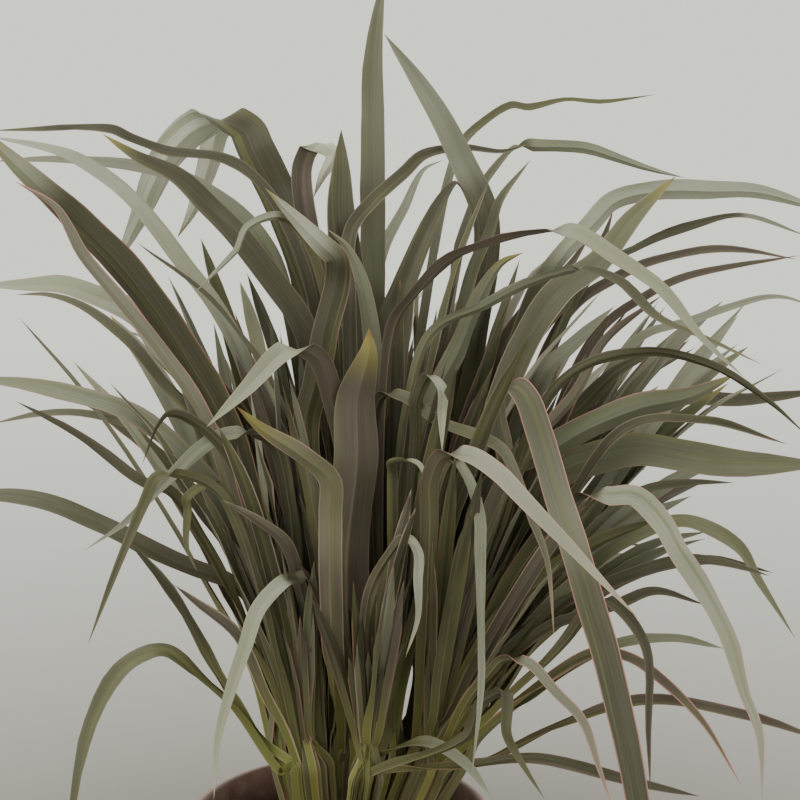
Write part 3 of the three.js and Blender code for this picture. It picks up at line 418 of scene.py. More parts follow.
    [0, 12, -60, BRONZE, 0, 0.3, (17, -3, 59), (21, -3, 64), (24, -2, 69), (29, -2, 73)],
    [0, 20, 55, DARK, 0, 0.3, (19, 2, 59), (23, 3, 63), (26, 3, 66), (30, 3, 68)],
    [7, 18, -60, DARK, 0, 0.2, (14, -8, 45), (18, -8, 49), (22, -9, 52), (27, -9, 54)],
]
print(len(SHOWN_LEAVES), "leaves follow the photograph")

# %% [markdown]
# ## The leaves between them
# The rest fill the clump all round. Each row bounds one bunch: shoot, how many, the middle
# and spread of their headings, and the least and greatest lean, length, droop and width. A
# leaf was offered to the solid in several forms, and it took the first that stood clear:
# one of the photograph was shifted to and fro, and any other was drawn anew.

# %% Leaves drawn within bounds
FILLED_LEAVES = [
    [0, 2, 15, 25, [18, 38], [380, 540], [10, 50], [16, 28]],
    [0, 1, 60, 35, [14, 30], [400, 560], [20, 60], [16, 28]],
    [0, 1, 350, 20, [14, 36], [420, 540], [5, 40], [16, 28]],
    [1, 3, 35, 20, [18, 42], [420, 560], [10, 50], [16, 30]],
    [1, 4, 80, 30, [12, 42], [460, 640], [30, 110], [16, 32]],
    [2, 4, 90, 45, [10, 40], [500, 700], [40, 130], [16, 32]],
    [2, 3, 90, 60, [40, 56], [360, 520], [50, 90], [14, 28]],
    [3, 4, 105, 30, [12, 42], [460, 640], [30, 110], [16, 32]],
    [3, 2, 150, 20, [16, 34], [400, 540], [10, 50], [12, 22]],
    [3, 1, 165, 15, [6, 20], [460, 580], [5, 30], [12, 22]],
    [4, 2, 180, 25, [14, 30], [380, 480], [10, 40], [12, 20]],
    [4, 2, 125, 35, [14, 30], [400, 560], [20, 60], [14, 26]],
    [5, 3, 200, 30, [6, 20], [240, 400], [5, 30], [10, 16]],
    [6, 2, 285, 30, [6, 16], [220, 320], [5, 30], [10, 14]],
    [7, 4, 335, 40, [14, 36], [240, 400], [5, 30], [10, 18]],
    [8, 5, 45, 60, [4, 26], [380, 560], [10, 60], [14, 26]],
    [9, 5, 130, 60, [4, 26], [380, 560], [10, 60], [14, 26]],
    [10, 4, 190, 60, [4, 16], [300, 440], [5, 30], [12, 22]],
    [11, 4, 350, 60, [8, 30], [320, 500], [5, 30], [12, 22]],
]
SHIFTS = [0, 10, -10, 20, -20, 30, -30, 45, -45]
TRIES = 24
PATH_STEPS = 6
FRONT_SHOOTS = (5, 6, 7, 10, 11)


def drawn_path(k, lean, heading, length, droop):
    """Six places along a leaf that leans from its sheath and droops more towards its tip."""
    point = on_axis(k, SHEATH_TOP + 15)
    step = length / PATH_STEPS
    path = []
    for number in range(PATH_STEPS):
        tilt = math.radians(lean + droop * ((number + 0.5) / PATH_STEPS) ** 2)
        away = step * math.sin(tilt)
        point = point + (away * math.cos(heading), away * math.sin(heading), step * math.cos(tilt))
        path.append(point)
    return np.array(path)


def leaf_of_photograph(k, width, turn, look, tip, rim, *places):
    places = 10.0 * np.array(places, float)
    order = np.arange(1, len(places) + 1) / len(places)
    forms = []
    for shift in SHIFTS:
        path = places.copy()
        path[:, 1] += shift * order
        forms.append((path, width, turn if isinstance(turn, list) else [turn, turn]))
    side = outward(k)
    reach = (places[0] - on_axis(k, SHEATH_TOP))[:2] @ (math.cos(side), math.sin(side))
    lean = math.atan2(reach, places[0][2] - SHEATH_TOP)
    looks = [*look, None][:3] if isinstance(look, list) else [look, look, None]
    return {"shoot": k, "lean": lean, "forms": forms, "looks": looks, "tip": tip, "rim": rim}


def filled_leaf(k, number, heading, spread, lean, lengths, droops, widths, stream):
    forms = []
    for _ in range(TRIES):
        turned = math.radians(heading + spread * (2 * next(stream) - 1))
        leant = lean + draw(stream, -5, 5)
        path = drawn_path(k, leant, turned, draw(stream, *lengths), draw(stream, *droops))
        width = draw(stream, *widths)
        turn = draw(stream, -50, 50)
        forms.append((path, width, [turn, turn]))
    front = k in FRONT_SHOOTS
    hues = [BRONZE, DARK, OLIVE] if front else [OLIVE, GREY, BRONZE, OLIVE, DARK, GREEN, PALE]
    hue = hues[number % len(hues)]
    return {
        "shoot": k, "lean": math.radians(lean) * math.cos(math.radians(heading) - outward(k)),
        "forms": forms, "looks": [hue, hue, None],
        "tip": 0.0 if front else 3 * max(0.0, math.sin(7.3 * number)) ** 4,
        "rim": 0.15 + 0.5 * math.sin(3.1 * number) ** 4,
    }


def planned_leaves():
    """Every leaf with the forms it was offered."""
    leaves = [leaf_of_photograph(*row) for row in SHOWN_LEAVES]
    stream = chance(20)
    for k, count, heading, spread, leans, *ranges in FILLED_LEAVES:
        for n in range(count):
            lean = leans[0] + (leans[1] - leans[0]) * (n + 0.5) / count
            leaves.append(filled_leaf(k, len(leaves), heading, spread, lean, *ranges, stream))
    return leaves


planned = planned_leaves()
print(len(planned), "leaves were planned")

# %% [markdown]
# ## The form that each leaf took
# The tip of a leaf is a corner of the packed solid, so the form that it took is the one
# whose tip is there. The leaves of a shoot stand side by side across its fan, ranked by how
# far they lean out.

# %% Leaves found in the solids
BETWEEN_LEAVES = 3.2  # millimetres
SAME_PLACE = 5e-5  # metres


def corners_of(node):
    """The corners of a packed solid, ready to be asked for the nearest one."""
    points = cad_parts[node].data.vertices
    tree = kdtree.KDTree(len(points))
    for i, vertex in enumerate(points):
        tree.insert(vertex.co, i)
    tree.balance()
    return tree


def grown_leaves(leaves):
    """The leaves that the packed shoots hold, each in the form that it took."""
    for k in range(SHOOTS):
        own = sorted((leaf for leaf in leaves if leaf["shoot"] == k), key=lambda leaf: leaf["lean"])
        tree = corners_of(f"shoot_{k + 1}")
        for i, leaf in enumerate(own):
            leaf["place"] = (i - (len(own) - 1) / 2) * BETWEEN_LEAVES
            for path, width, turns in leaf["forms"]:
                if tree.find(Vector(path[-1] / PER_METRE))[2] < SAME_PLACE:
                    leaf.update(path=path, width=width, turns=turns)
                    break
    return [leaf for leaf in leaves if "path" in leaf]


leaves = grown_leaves(planned)
print(len(leaves), "leaves found in the packed shoots")

# %% [markdown]
# ## The line of a leaf
# A leaf is a strap that follows a smooth line through its places. Below the point where the
# leaves part, each one runs on down into the soil as a deep clasping V.

# %% Lines
IN_SHEATH = (285, 300, 315)  # heights
IN_FOOT = ((192, 0.5), (222, 0.66), (253, 0.85))  # heights, and how far apart the leaves still are


def through(points, steps=20):
    """A smooth line through points, evenly shared between close and far ones."""
    points = np.array(points, float)
    ends = [2 * points[0] - points[1], *points, 2 * points[-1] - points[-2]]
    line = []
    for a, b, c, d in zip(ends, ends[1:], ends[2:], ends[3:]):
        gap = [math.sqrt(np.linalg.norm(q - p)) for p, q in ((a, b), (b, c), (c, d))]
        start = gap[1] * ((b - a) / gap[0] - (c - a) / (gap[0] + gap[1]) + (c - b) / gap[1])
        finish = gap[1] * ((c - b) / gap[1] - (d - b) / (gap[1] + gap[2]) + (d - c) / gap[2])
        for t in np.arange(steps) / steps:
            hermite = (2 * t**3 - 3 * t**2 + 1, t**3 - 2 * t**2 + t, 3 * t**2 - 2 * t**3, t**3 - t**2)
            line.append(hermite[0] * b + hermite[1] * start + hermite[2] * c + hermite[3] * finish)
    line.append(points[-1])
    return np.array(line)


def full_line(leaf):
    """The leaf's line from below the soil to its tip, and where the part above starts."""
    k = leaf["shoot"]
    angle = outward(k)
    side = np.array([math.cos(angle), math.sin(angle), 0]) * leaf["place"]
    side += np.array([-math.sin(angle), math.cos(angle), 0]) * leaf.get("aside", 0.0)
    foot = [on_axis(k, z) + side * share for z, share in IN_FOOT]
    start = [on_axis(k, z) + side for z in IN_SHEATH]
    above = through([*start, *leaf["path"]])
    below = through([*foot, start[0]], 6)[:-1]
    return np.vstack([below, above]), len(below)


print("the tallest leaf's line has", len(full_line(leaves[0])[0]), "points")

# %% [markdown]
# ## The frame of a leaf
# At each place on its line a leaf needs three directions: along the line, across the blade,
# and out of its upper side. The foot faces out of the fan, the blade swings round to its own
# heading and may turn on itself. Where a leaf folds over and shows its other side, it has a
# slanting crease, half way between the directions before and after it and longer than the
# blade is wide.

# %% Turns and folds
WIDEST_FOLD = 1.35  # times the width of the blade


def unit(v):
    return v / max(np.linalg.norm(v), 1e-9)


def turn_at(turns, share, top):
    """How far the blade has turned over, in degrees."""
    return turns[0 if share < top else 1] * ease((share - 0.1) / 0.5)


def creased(this_side, that_side, closeness):
    """The frame near a fold: closeness is 0 at its two ends and 1 on the crease itself."""
    crease = unit(this_side["across"] + that_side["across"])
    lift = this_side["lift"] + that_side["lift"]
    slant = crease @ unit(this_side["ahead"] + that_side["ahead"])
    widest = min(WIDEST_FOLD, 1 / math.sqrt(max(1 - slant * slant, 0.01)))
    across = unit(this_side["across"] * (1 - closeness) + crease * closeness)
    lift = this_side["lift"] * (1 - closeness) + unit(lift - crease * (lift @ crease)) * closeness
    return across, unit(lift - across * (lift @ across)), 1 + (widest - 1) * closeness


print("a turn of 40 degrees has come to", turn_at([40, 40], 0.35, 1), "at a third of the leaf")

# %% [markdown]
# ## Places along a leaf
# The blade is made of rings of points. A ring comes after a stretch of straight leaf, and
# sooner where the line bends, the blade turns or folds, so that bends stay smooth and
# straight parts stay light. Each ring also gets the colouring of its place, and low on a
# leaf its pale is cut back, partly for the dark upper side showing there and partly as
# painted shade.

# %% Rings
BEND_A_RING = 7  # degrees
TWIST_A_RING = 12  # degrees
RINGS_A_FOLD = 4
MOST_RINGS = 56
FOLD_REACH = 0.6  # of the leaf's width, to each side of the crease
SWING_FROM = 40  # millimetres along the leaf
SWING_OVER = 220


def coloured(looks, folds, share, past_summit):
    """The colouring at one place, and how much of the margin shows there."""
    first, last, changes = looks
    changed = ease(past_summit / 16 + 0.5) if changes is None else ease((share - changes) / 0.1 + 0.5)
    look = np.array(first) + (np.array(last) - first) * changed
    # Lower down a leaf is painted less pale: partly its dark upper side showing there, partly painted shade of the
    # low clump.
    look[0] *= max(changed, 0.35 + 0.65 * ease((share - 0.35) / 0.4))
    return {"look": look, "showing": 0.4 + 0.6 * changed if folds else 1.0}


def rail(leaf):
    """The places on a leaf where it gets a ring of points, each with its frame and colouring."""
    line, first = full_line(leaf)
    step = np.linalg.norm(np.diff(line, axis=0), axis=1)
    along = np.concatenate([[0], np.cumsum(step)])
    along -= along[first]
    whole = along[-1]
    summit = along[np.argmax(line[:, 2])]
    folds = leaf["turns"][0] != leaf["turns"][1]
    near = FOLD_REACH * leaf["width"]
    last = len(line) - 1
    tangent = np.array([unit(line[min(i + 1, last)] - line[max(i - 1, 0)]) for i in range(last + 1)])
    bend = np.degrees(np.arccos(np.clip(np.sum(tangent[1:] * tangent[:-1], axis=1), -1, 1)))
    twist = np.abs(np.diff([turn_at(leaf["turns"], a / whole, math.inf) for a in along]))
    crease = folds * (np.abs(along[1:] - summit) < near)
    rings = step / leaf["ring_every"] + bend / BEND_A_RING + twist / TWIST_A_RING
    cost = np.concatenate([[0], np.cumsum(rings + crease * step / near * RINGS_A_FOLD)])
    count = int(np.clip(round(cost[-1]), leaf["fewest_rings"], MOST_RINGS))
    places = np.interp(np.linspace(0, cost[-1], count), cost, along)
    base = outward(leaf["shoot"])
    root = on_axis(leaf["shoot"], SHEATH_TOP)
    own = math.atan2(line[-1][1] - root[1], line[-1][0] - root[0])
    swing = math.atan2(math.sin(own - base), math.cos(own - base))

    def frame_at(here):
        place = np.interp(here, along, np.arange(len(line)))
        i = min(int(place), last - 1)
        part = place - i
        ahead = unit(tangent[i] * (1 - part) + tangent[i + 1] * part)
        heading = base + swing * ease((here - SWING_FROM) / SWING_OVER)
        flat = np.array([-math.sin(heading), math.cos(heading), 0])
        flat = unit(flat - ahead * (flat @ ahead))
        turn = math.radians(turn_at(leaf["turns"], here / whole, summit / whole))
        across = flat * math.cos(turn) + np.cross(ahead, flat) * math.sin(turn)
        middle = line[i] * (1 - part) + line[i + 1] * part
        return {"middle": middle, "ahead": ahead, "across": across, "lift": np.cross(ahead, across)}

    stations = []
    for here in places:
        share = here / whole
        now = frame_at(here)
        now.update(here=here, share=share, left=whole - here, top=summit / whole, widening=1.0)
        if folds and abs(here - summit) < near:
            closeness = 1 - abs(here - summit) / near
            ends = [frame_at(summit - near), frame_at(summit + near)]
            sides = ends if here < summit else ends[::-1]
            now["across"], now["lift"], now["widening"] = creased(*sides, closeness)
        now.update(coloured(leaf["looks"], folds, share, here - summit))
        stations.append(now)
    return stations


for leaf in leaves:
    leaf.update(foot=11.0, ring_every=26.0, fewest_rings=18)
print("rings on the tallest leaf:", len(rail(leaves[0])))

# %% [markdown]
# ## The slender leaves of each fan
# Round the long leaves of each fan stand slender straight ones, some still growing. They
# fill the middle of the clump, where the photograph shows hardly any daylight, and close
# its foot. They are drawn by chance within the fan's own directions: close to upright on
# the left, leaning out further on the right, and shorter at the front. Two fans on the right
# also carry longer ones that arch far out behind the folded leaves.

# %% Slender leaves
HUES = [OLIVE, DARK, BRONZE, GREEN, DARK, BRONZE]
LEFT_HUES = [OLIVE, GREY, GREEN, GREY, BRONZE, GREY]
DEEP_HUES = [DARK, BRONZE, DARK, OLIVE, DARK, BRONZE]
FAR_HUES = [OLIVE, GREY, BRONZE, GREY]
HUES_OF = {3: LEFT_HUES, 4: LEFT_HUES, 0: DEEP_HUES, 6: DEEP_HUES, 7: DEEP_HUES, 11: DEEP_HUES}
LONGEST = {2: 540, 5: 300, 6: 260, 7: 320, 9: 540, 10: 380, 11: 400}
LONGEST_ELSEWHERE = 480
FARTHEST_RIGHT = 460  # the box of the solid ends beyond it


def slender_leaf(k, swings, leans, lengths, droops, hue, stream):
    length = draw(stream, *lengths)
    heading = outward(k) + draw(stream, *swings)
    return {
        "shoot": k, "place": draw(stream, -17, 17), "aside": draw(stream, -13, 13),
        "path": drawn_path(k, draw(stream, *leans), heading, length, draw(stream, *droops)),
        "width": draw(stream, 7, 10) + length / 50, "turns": [draw(stream, -70, 70)] * 2,
        "looks": [hue, hue, None], "tip": 0.0, "rim": draw(stream, 0.1, 0.6),
        "foot": draw(stream, 6.5, 9.5), "ring_every": 45.0, "fewest_rings": 10,
    }


growth = chance(7)
slender = []
for k in range(SHOOTS):
    right = 0.5 + 0.5 * math.cos(outward(k))
    outer = k < OUTER_SHOOTS
    leans = (1, 14 + 19 * right if outer else 14)
    lengths = (120, LONGEST.get(k, LONGEST_ELSEWHERE) - 70 * (1 - right))
    hues = HUES_OF.get(k, HUES)
    for n in range(24 if outer else 20):
        hue = hues[n % len(hues)]
        slender.append(slender_leaf(k, (-1.0, 1.0), leans, lengths, (0, 22), hue, growth))
for k in (0, 1):
    for n in range(14):
        hue = FAR_HUES[n % len(FAR_HUES)]
        slender.append(slender_leaf(k, (0.0, 0.9), (24, 35), (440, 540), (10, 50), hue, growth))
        slender.append(slender_leaf(k, (0.1, 1.0), (34, 46), (320, 410), (40, 80), hue, growth))
slender = [leaf for leaf in slender if max(leaf["path"][:, 0]) < FARTHEST_RIGHT]
print(len(slender), "slender leaves")

# %% [markdown]
# ## Geometry Nodes by hand
# A Geometry Nodes tree is given named inputs and hands one geometry back. To run it, it is
# put on an object as a modifier, its inputs are set by name, and its result is kept as a
# plain mesh.

# %% Making and running trees
class Maker(Board):
    """A Geometry Nodes tree with named inputs and one geometry as its result."""

    def __init__(self, name, **inputs):
        super().__init__(bpy.data.node_groups.new(name, "GeometryNodeTree"))
        sockets = [(label.replace("_", " "), "INPUT", kind) for label, kind in inputs.items()]
        for label, way, kind in [*sockets, ("Result", "OUTPUT", "Geometry")]:
            self.tree.interface.new_socket(name=label, in_out=way, socket_type=f"NodeSocket{kind}")
        self.given = self.node("NodeGroupInput").other

    def hand_back(self, shape):
        """The finished tree: its result is one plain mesh, with the given finish on it."""
        shape = self.node("GeometryNodeRealizeInstances", {"Geometry": shape})
        shape = self.node("GeometryNodeSetMaterial", {"Geometry": shape, "Material": self.given("Finish")})
        self.feed(self.tree.nodes.new("NodeGroupOutput").inputs["Result"], shape)
        return self.tree


def evaluated(piece):
    """What a piece's modifiers make of it, as a mesh of its own."""
    bpy.context.view_layer.update()
    graph = bpy.context.evaluated_depsgraph_get()
    return bpy.data.meshes.new_from_object(piece.evaluated_get(graph))


def run_tree(source, tree, name, **values):
    """Puts a tree on an object, sets its named inputs and returns the result as a mesh."""
    maker = source.modifiers.new(name, "NODES")
    maker.node_group = tree
    sockets = {s.name: s.identifier for s in tree.interface.items_tree if s.in_out == "INPUT"}
    for label, value in values.items():
        maker[sockets[label.replace("_", " ")]] = value
    mesh = evaluated(source)
    bpy.data.objects.remove(source)
    return into_scene(name, mesh)


print("trees can be made and run")

# %% [markdown]
# ## The blade as a Geometry Nodes tree
# Every leaf is the same strap on another line, which is what Geometry Nodes are for. The
# script gives the tree one thin line of points for each leaf, and each point carries its
# directions, half width, fold, thickness and colouring. The tree sweeps a closed ring of
# points along the lines, then sets each point by rule: out from the middle to the margin,
# up by the fold, and for the underside down by the thickness and the keel.

# %% The strap tree
def strap_tree():
    board = Maker("strap leaf", Lines="Geometry", Points_Across="Int", Margin_Thickness="Float", Finish="Material")
    across = board.given("Points Across")

    def carried(name, kind="FLOAT"):
        return board.node("GeometryNodeInputNamedAttribute", {"Name": name}, data_type=kind)

    def keep(shape, name, value):
        inputs = {"Geometry": shape, "Name": name, "Value": value}
        return board.node("GeometryNodeStoreNamedAttribute", inputs, data_type="FLOAT", domain="POINT")

    def moved(direction, distance):
        made = board.vector("SCALE", carried(direction, "FLOAT_VECTOR"))
        board.feed(made.socket.node.inputs["Scale"], distance)
        return made

    lines = board.node("GeometryNodeMeshToCurve", {"Mesh": board.given("Lines")})
    ring = board.node("GeometryNodeCurvePrimitiveCircle", {"Resolution": across * 2, "Radius": 0.001})
    ring = keep(ring, "ring", board.node("GeometryNodeInputIndex"))
    sweep = {"Curve": lines, "Profile Curve": ring, "Fill Caps": True}
    shape = board.node("GeometryNodeCurveToMesh", sweep)
    order = carried("ring")
    under = board.sum("GREATER_THAN", order, across - 0.5)
    step = 2 / (across - 1)
    out = (order * step - 1) * (1 - under) + (1 - (order - across) * step) * under
    shape = keep(shape, "out", out)
    shape = keep(shape, "under", under)
    out, under, half, fold = (carried(name) for name in ("out", "under", "half", "fold"))
    wide = board.sum("ABSOLUTE", out)
    ripple = board.node("ShaderNodeSeparateXYZ", {0: carried("ripple", "FLOAT_VECTOR")})
    thin = 1 - (1 - board.given("Margin Thickness")) * wide * wide
    keel = carried("keel") * board.ease(wide, 0.0, 0.2, 1.0, 0.0)
    up = wide * half * board.sum("SINE", fold) + wide * (1 - wide) * half * 0.16
    up = up + wide * wide * (ripple + out * ripple.other("Y"))
    up = up - under * (carried("thick") * thin + keel)
    place = moved("across", out * half * board.sum("COSINE", fold))
    place = board.vector("ADD", carried("middle", "FLOAT_VECTOR"), place)
    place = board.vector("ADD", place, moved("lift", up))
    shape = board.node("GeometryNodeSetPosition", {"Geometry": shape, "Position": place})
    shape = board.node("GeometryNodeMergeByDistance", {"Geometry": shape, "Distance": 2e-5})
    return board.hand_back(shape)


strap = strap_tree()
print("strap tree:", len(strap.nodes), "nodes")

# %% [markdown]
# ## One line of points for each leaf
# What the tree reads is stored on the points as named attributes. The margins of a flax
# leaf are never quite straight, so each leaf gets its own slow ripple, and none at its foot.

# %% Lines with their attributes
FULL_WIDTH_AT = 0.4  # shares of the leaf's length
NARROWS_FROM = 0.6
BLUNT = 4
LESS_BLUNT = 2.2
HANGING = 80  # millimetres from its summit down to its tip
FULL_TURN = 6.28
FOOT_FOLD, OPEN_FOLD = 52, 16  # degrees


def half_width(leaf, share, here, top):
    """A leaf that stands ends bluntly, and one that hangs narrows from its summit to a long point."""
    foot = leaf["foot"]
    if here < 0:
        return foot / 2 + 1.2 * ease(-here / 60)
    full = foot + (leaf["width"] - foot) * ease(share / FULL_WIDTH_AT)
    hanging = ease((max(leaf["path"][:, 2]) - leaf["path"][-1][2]) / HANGING)
    narrowing = NARROWS_FROM + (max(NARROWS_FROM, top) - NARROWS_FROM) * hanging
    sharpness = BLUNT - LESS_BLUNT * hanging
    return full / 2 * (1 - max(0.0, (share - narrowing) / (1 - narrowing)) ** sharpness)


def fold_at(share, here):
    """How steeply each half of the blade rises from its middle, in degrees."""
    if here < 0:
        return FOOT_FOLD + 20 * ease(-here / 50)
    return FOOT_FOLD - (FOOT_FOLD - OPEN_FOLD) * ease(share / 0.5)


def leaf_values(leaf, number):
    """The attributes of one leaf's points, one row for each place on its line."""
    stream = chance(1000 + number)
    waves = [(draw(stream, 0.2, 1.0), draw(stream, 55, 140), draw(stream, 0, FULL_TURN)) for _ in range(4)]
    rows = []
    for s in rail(leaf):
        share, here = s["share"], s["here"]
        rippled = [size * math.sin(here / length * FULL_TURN + start) for size, length, start in waves]
        window = ease(share / 0.3) * ease((1 - share) / 0.15)
        half = max(half_width(leaf, share, here, s["top"]) * s["widening"], 0.02)
        ripple = np.array([rippled[0] + rippled[1], rippled[2] + rippled[3], 0]) * window
        rows.append({
            "middle": s["middle"] / PER_METRE, "across": s["across"], "lift": s["lift"],
            "half": half / PER_METRE, "fold": math.radians(fold_at(share, here)),
            "thick": (1.25 - 0.45 * max(share, 0)) / PER_METRE,
            "keel": (0.15 + 0.9 * ease(1 - share / 0.7)) / PER_METRE,
            "ripple": ripple / PER_METRE,
            "reach": here / PER_METRE, "share": share, "look": s["look"],
            "left": s["left"] / PER_METRE, "tip": leaf["tip"] / 100,
            "rim": leaf["rim"] * s["showing"], "own": number * 0.37,
        })
    rows[-1].update(half=1e-6, thick=1e-6, keel=0.0)
    return rows


def lines_object(name, fan):
    """A mesh of bare lines, one for each leaf, with the attributes on its points."""
    rows, edges = [], []
    for leaf in fan:
        first = len(rows)
        rows += leaf_values(leaf, leaf["number"])
        edges += [(i, i + 1) for i in range(first, len(rows) - 1)]
    mesh = bpy.data.meshes.new(name)
    mesh.from_pydata([row["middle"] for row in rows], edges, [])
    for label, sample in rows[0].items():
        values = np.array([row[label] for row in rows], float).ravel()
        kind, field = ("FLOAT_VECTOR", "vector") if np.ndim(sample) else ("FLOAT", "value")
        mesh.attributes.new(label, kind, "POINT").data.foreach_set(field, values)
    return into_scene(name, mesh)


for number, leaf in enumerate(leaves + slender):
    leaf["number"] = number
print(len(leaf_values(leaves[0], 0)), "points on the first line")

# %% [markdown]
# ## The finish of a leaf
# The tree left the leaf's own measures on the mesh, so the material can be written on
# them: out runs from -1 at one margin to 1 at the other, reach is metres from the foot,
# left is metres to the tip. Fibres run along the leaf, so their noise is stretched that
# way. The colour is built up in layers: first how pale, bronze and green the leaf is, with
# a darker skin on the dark leaves that is partly painted shade, and painted light past the
# wax on the palest, then its fibres, bands and clouds of green, and on top the green foot,
# the pale keel, the thin margins, the yellowed tip and a few freckles.

# %% Leaf material
OLIVE_SKIN = (77, 76, 59)
BRONZE_SKIN = (82, 70, 60)
GREEN_SKIN = (86, 89, 54)
# partly a dark leaf skin, partly painted shade
DARK_SKIN_AND_PAINTED_SHADE = (48, 44, 32)
WAX = (174, 177, 158)
PAINTED_LIGHT = (214, 216, 198)
FIBRE = (146, 142, 116)
FURROW = (46, 44, 33)
FLUSH = (128, 112, 94)
LIME = (112, 116, 62)
SAGE = (124, 126, 80)
FOOT_GREEN = (124, 126, 62)
FOOT_STRAW = (140, 132, 84)
KEEL = (152, 144, 110)
PINK = (204, 142, 134)
CREAM = (206, 188, 164)
YELLOWED = (148, 138, 76)
WITHERED = (128, 92, 58)
FRECKLE = (92, 70, 52)


def leaf_finish():
    leaf = Finish("flax leaf")
    out, half, reach, share, left = (leaf.attribute(name) for name in ("out", "half", "reach", "share", "left"))
    under, tip, rim, own = (leaf.attribute(name) for name in ("under", "tip", "rim", "own"))
    look = leaf.node("ShaderNodeSeparateXYZ", {0: leaf.attribute("look", "Vector")})
    across = out * half
    wide = leaf.sum("ABSOLUTE", out)
    fibres = leaf.noise(leaf.xyz(across * 1000, reach * 12, own), 1.1, 2.0)
    bands = leaf.noise(leaf.xyz(across * 170, reach * 2.0, own * 3.1), 1.0, 2.0)
    clouds = leaf.noise(leaf.xyz(across * 12, reach * 5, own * 1.7), 1.0, 3.0)
    freckles = leaf.noise(leaf.place(), 420, 1.0)
    pale = look + (under - 0.5) * 0.15 + (clouds - 0.5) * 0.4
    fresh = leaf.ease(leaf.sum("FRACT", own * 1.9), 0.35, 0.85, 0.25, 0.9)
    low = leaf.ease(reach + clouds * 0.12, 0.08, 0.3, 1.0, 0.0) * leaf.ease(share, 0.3, 0.75, 1.0, 0.0)
    keel = leaf.ease(wide, 0.03, 0.12, 0.5, 0.0) * under * leaf.ease(share, 0.3, 0.8, 1.0, 0.0)
    margin = leaf.ease((1 - wide) * half, 0.0004, 0.0013, 0.8, 0.0) * rim * leaf.ease(bands, 0.3, 0.6, 0.5, 1.0)
    margin_colour = leaf.blend(leaf.ease(leaf.sum("FRACT", own * 2.6), 0.3, 0.9), PINK, CREAM)
    worn = (left + (clouds - 0.5) * 0.03 + (fibres - 0.5) * 0.02) / (tip + 0.002)
    body = leaf.layered(leaf.blend(look.other("Y") * 0.9, OLIVE_SKIN, BRONZE_SKIN), [
        (look.other("Z") * 0.8, GREEN_SKIN),
        # partly the dark leaves' own skin, partly painted shade
        (leaf.ease(look, -0.2, 0.1, 0.4, 0.0), DARK_SKIN_AND_PAINTED_SHADE),
        (leaf.ease(pale, 0.0, 1.1), WAX),
        # painted light: past a pale of 1.2 the leaf is brightened beyond its wax
        (leaf.ease(pale, 1.2, 1.6), PAINTED_LIGHT),
        (leaf.ease(fibres, 0.5, 0.72, 0.0, 0.12), FIBRE),
        (leaf.ease(fibres, 0.28, 0.48, 0.2, 0.0), FURROW),
        (leaf.ease(bands, 0.56, 0.72, 0.0, 0.22), FLUSH),
        (leaf.ease(bands, 0.28, 0.44, 0.45, 0.0), LIME),
        (leaf.ease(clouds, 0.48, 0.66, 0.0, 0.3), SAGE),
        (low * fresh, FOOT_GREEN),
        (leaf.ease(reach, -0.07, 0.03, 0.4, 0.0), FOOT_STRAW),
        (keel, KEEL),
        (margin, margin_colour),
        (leaf.ease(worn, 0.1, 1.2, 0.85, 0.0) * leaf.ease(tip, 0.001, 0.006), YELLOWED),
        (leaf.ease(worn, 0.05, 0.25, 0.6, 0.0) * leaf.ease(tip, 0.02, 0.04), WITHERED),
        (leaf.ease(freckles, 0.7, 0.78, 0.0, 0.35), FRECKLE),
    ])
    leaf.surface.inputs["Specular IOR Level"].default_value = 0.35
    return leaf.paint(body, 0.46 + under * 0.12 + fibres * 0.14, fibres * 0.4 + bands * 0.6, 0.0004)


leaf_material = leaf_finish()
print("leaf material:", len(leaf_material.node_tree.nodes), "nodes")

# %% [markdown]
# ## Growing the shoots
# Each shoot's leaves become one mesh, which takes the place of the packed solid. A closed
# strap has an inside and an outside, so its faces are turned outwards after the sweep, and
# the thin sides of the margins keep their sharp edge.

# %% Twelve shoots
def turn_out(piece, crease=46):
    mesh = bmesh.new()
    mesh.from_mesh(piece.data)
    bmesh.ops.recalc_face_normals(mesh, faces=mesh.faces)
    mesh.to_mesh(piece.data)
    mesh.free()
    piece.data.shade_smooth()
    piece.data.set_sharp_from_angle(angle=math.radians(crease))


total = 0
for k in range(SHOOTS):
    fan = [leaf for leaf in leaves + slender if leaf["shoot"] == k]
    shoot = run_tree(
        lines_object(f"lines_{k + 1}", fan), strap, f"leaves_{k + 1}",
        Points_Across=9, Margin_Thickness=0.42, Finish=leaf_material,
    )
    turn_out(shoot)
    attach(shoot, "root")
    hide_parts(f"shoot_{k + 1}")
    total += sum(len(p.vertices) - 2 for p in shoot.data.polygons)
print("all leaves:", total, "triangles")

# %% [markdown]
# ## The pot
# The pot is turned: one outline, spun round the upright axis, gives the wall, the lip that
# turns down outside it and the flat floor. The packed outline has sharp corners and 36
# sides. Here its corners are rounded as moulded plastic is, and it has 160 sides.

# %% Turned shapes
POT_OUTLINE = [
    (0, 0), (96.5, 0), (98, 1.5), (133.0, 242), (137.5, 242.2), (137.5, 236), (140, 236),
    (140, 248.5), (138.5, 250), (132.5, 250), (131, 248.5), (95.5, 3), (0, 3),
]


def rounded(points, radius, steps=4):
    """An outline with each inner corner cut back by radius and curved."""
    points = [np.array(p, float) for p in points]
    done = [points[0]]
    for a, b, c in zip(points, points[1:], points[2:]):
        cut = min(radius, 0.45 * np.linalg.norm(b - a), 0.45 * np.linalg.norm(c - b))
        p, q = b + unit(a - b) * cut, b + unit(c - b) * cut
        for t in np.linspace(0, 1, steps):
            done.append(p * (1 - t) ** 2 + 2 * b * t * (1 - t) + q * t * t)
    done.append(points[-1])
    return np.array(done)


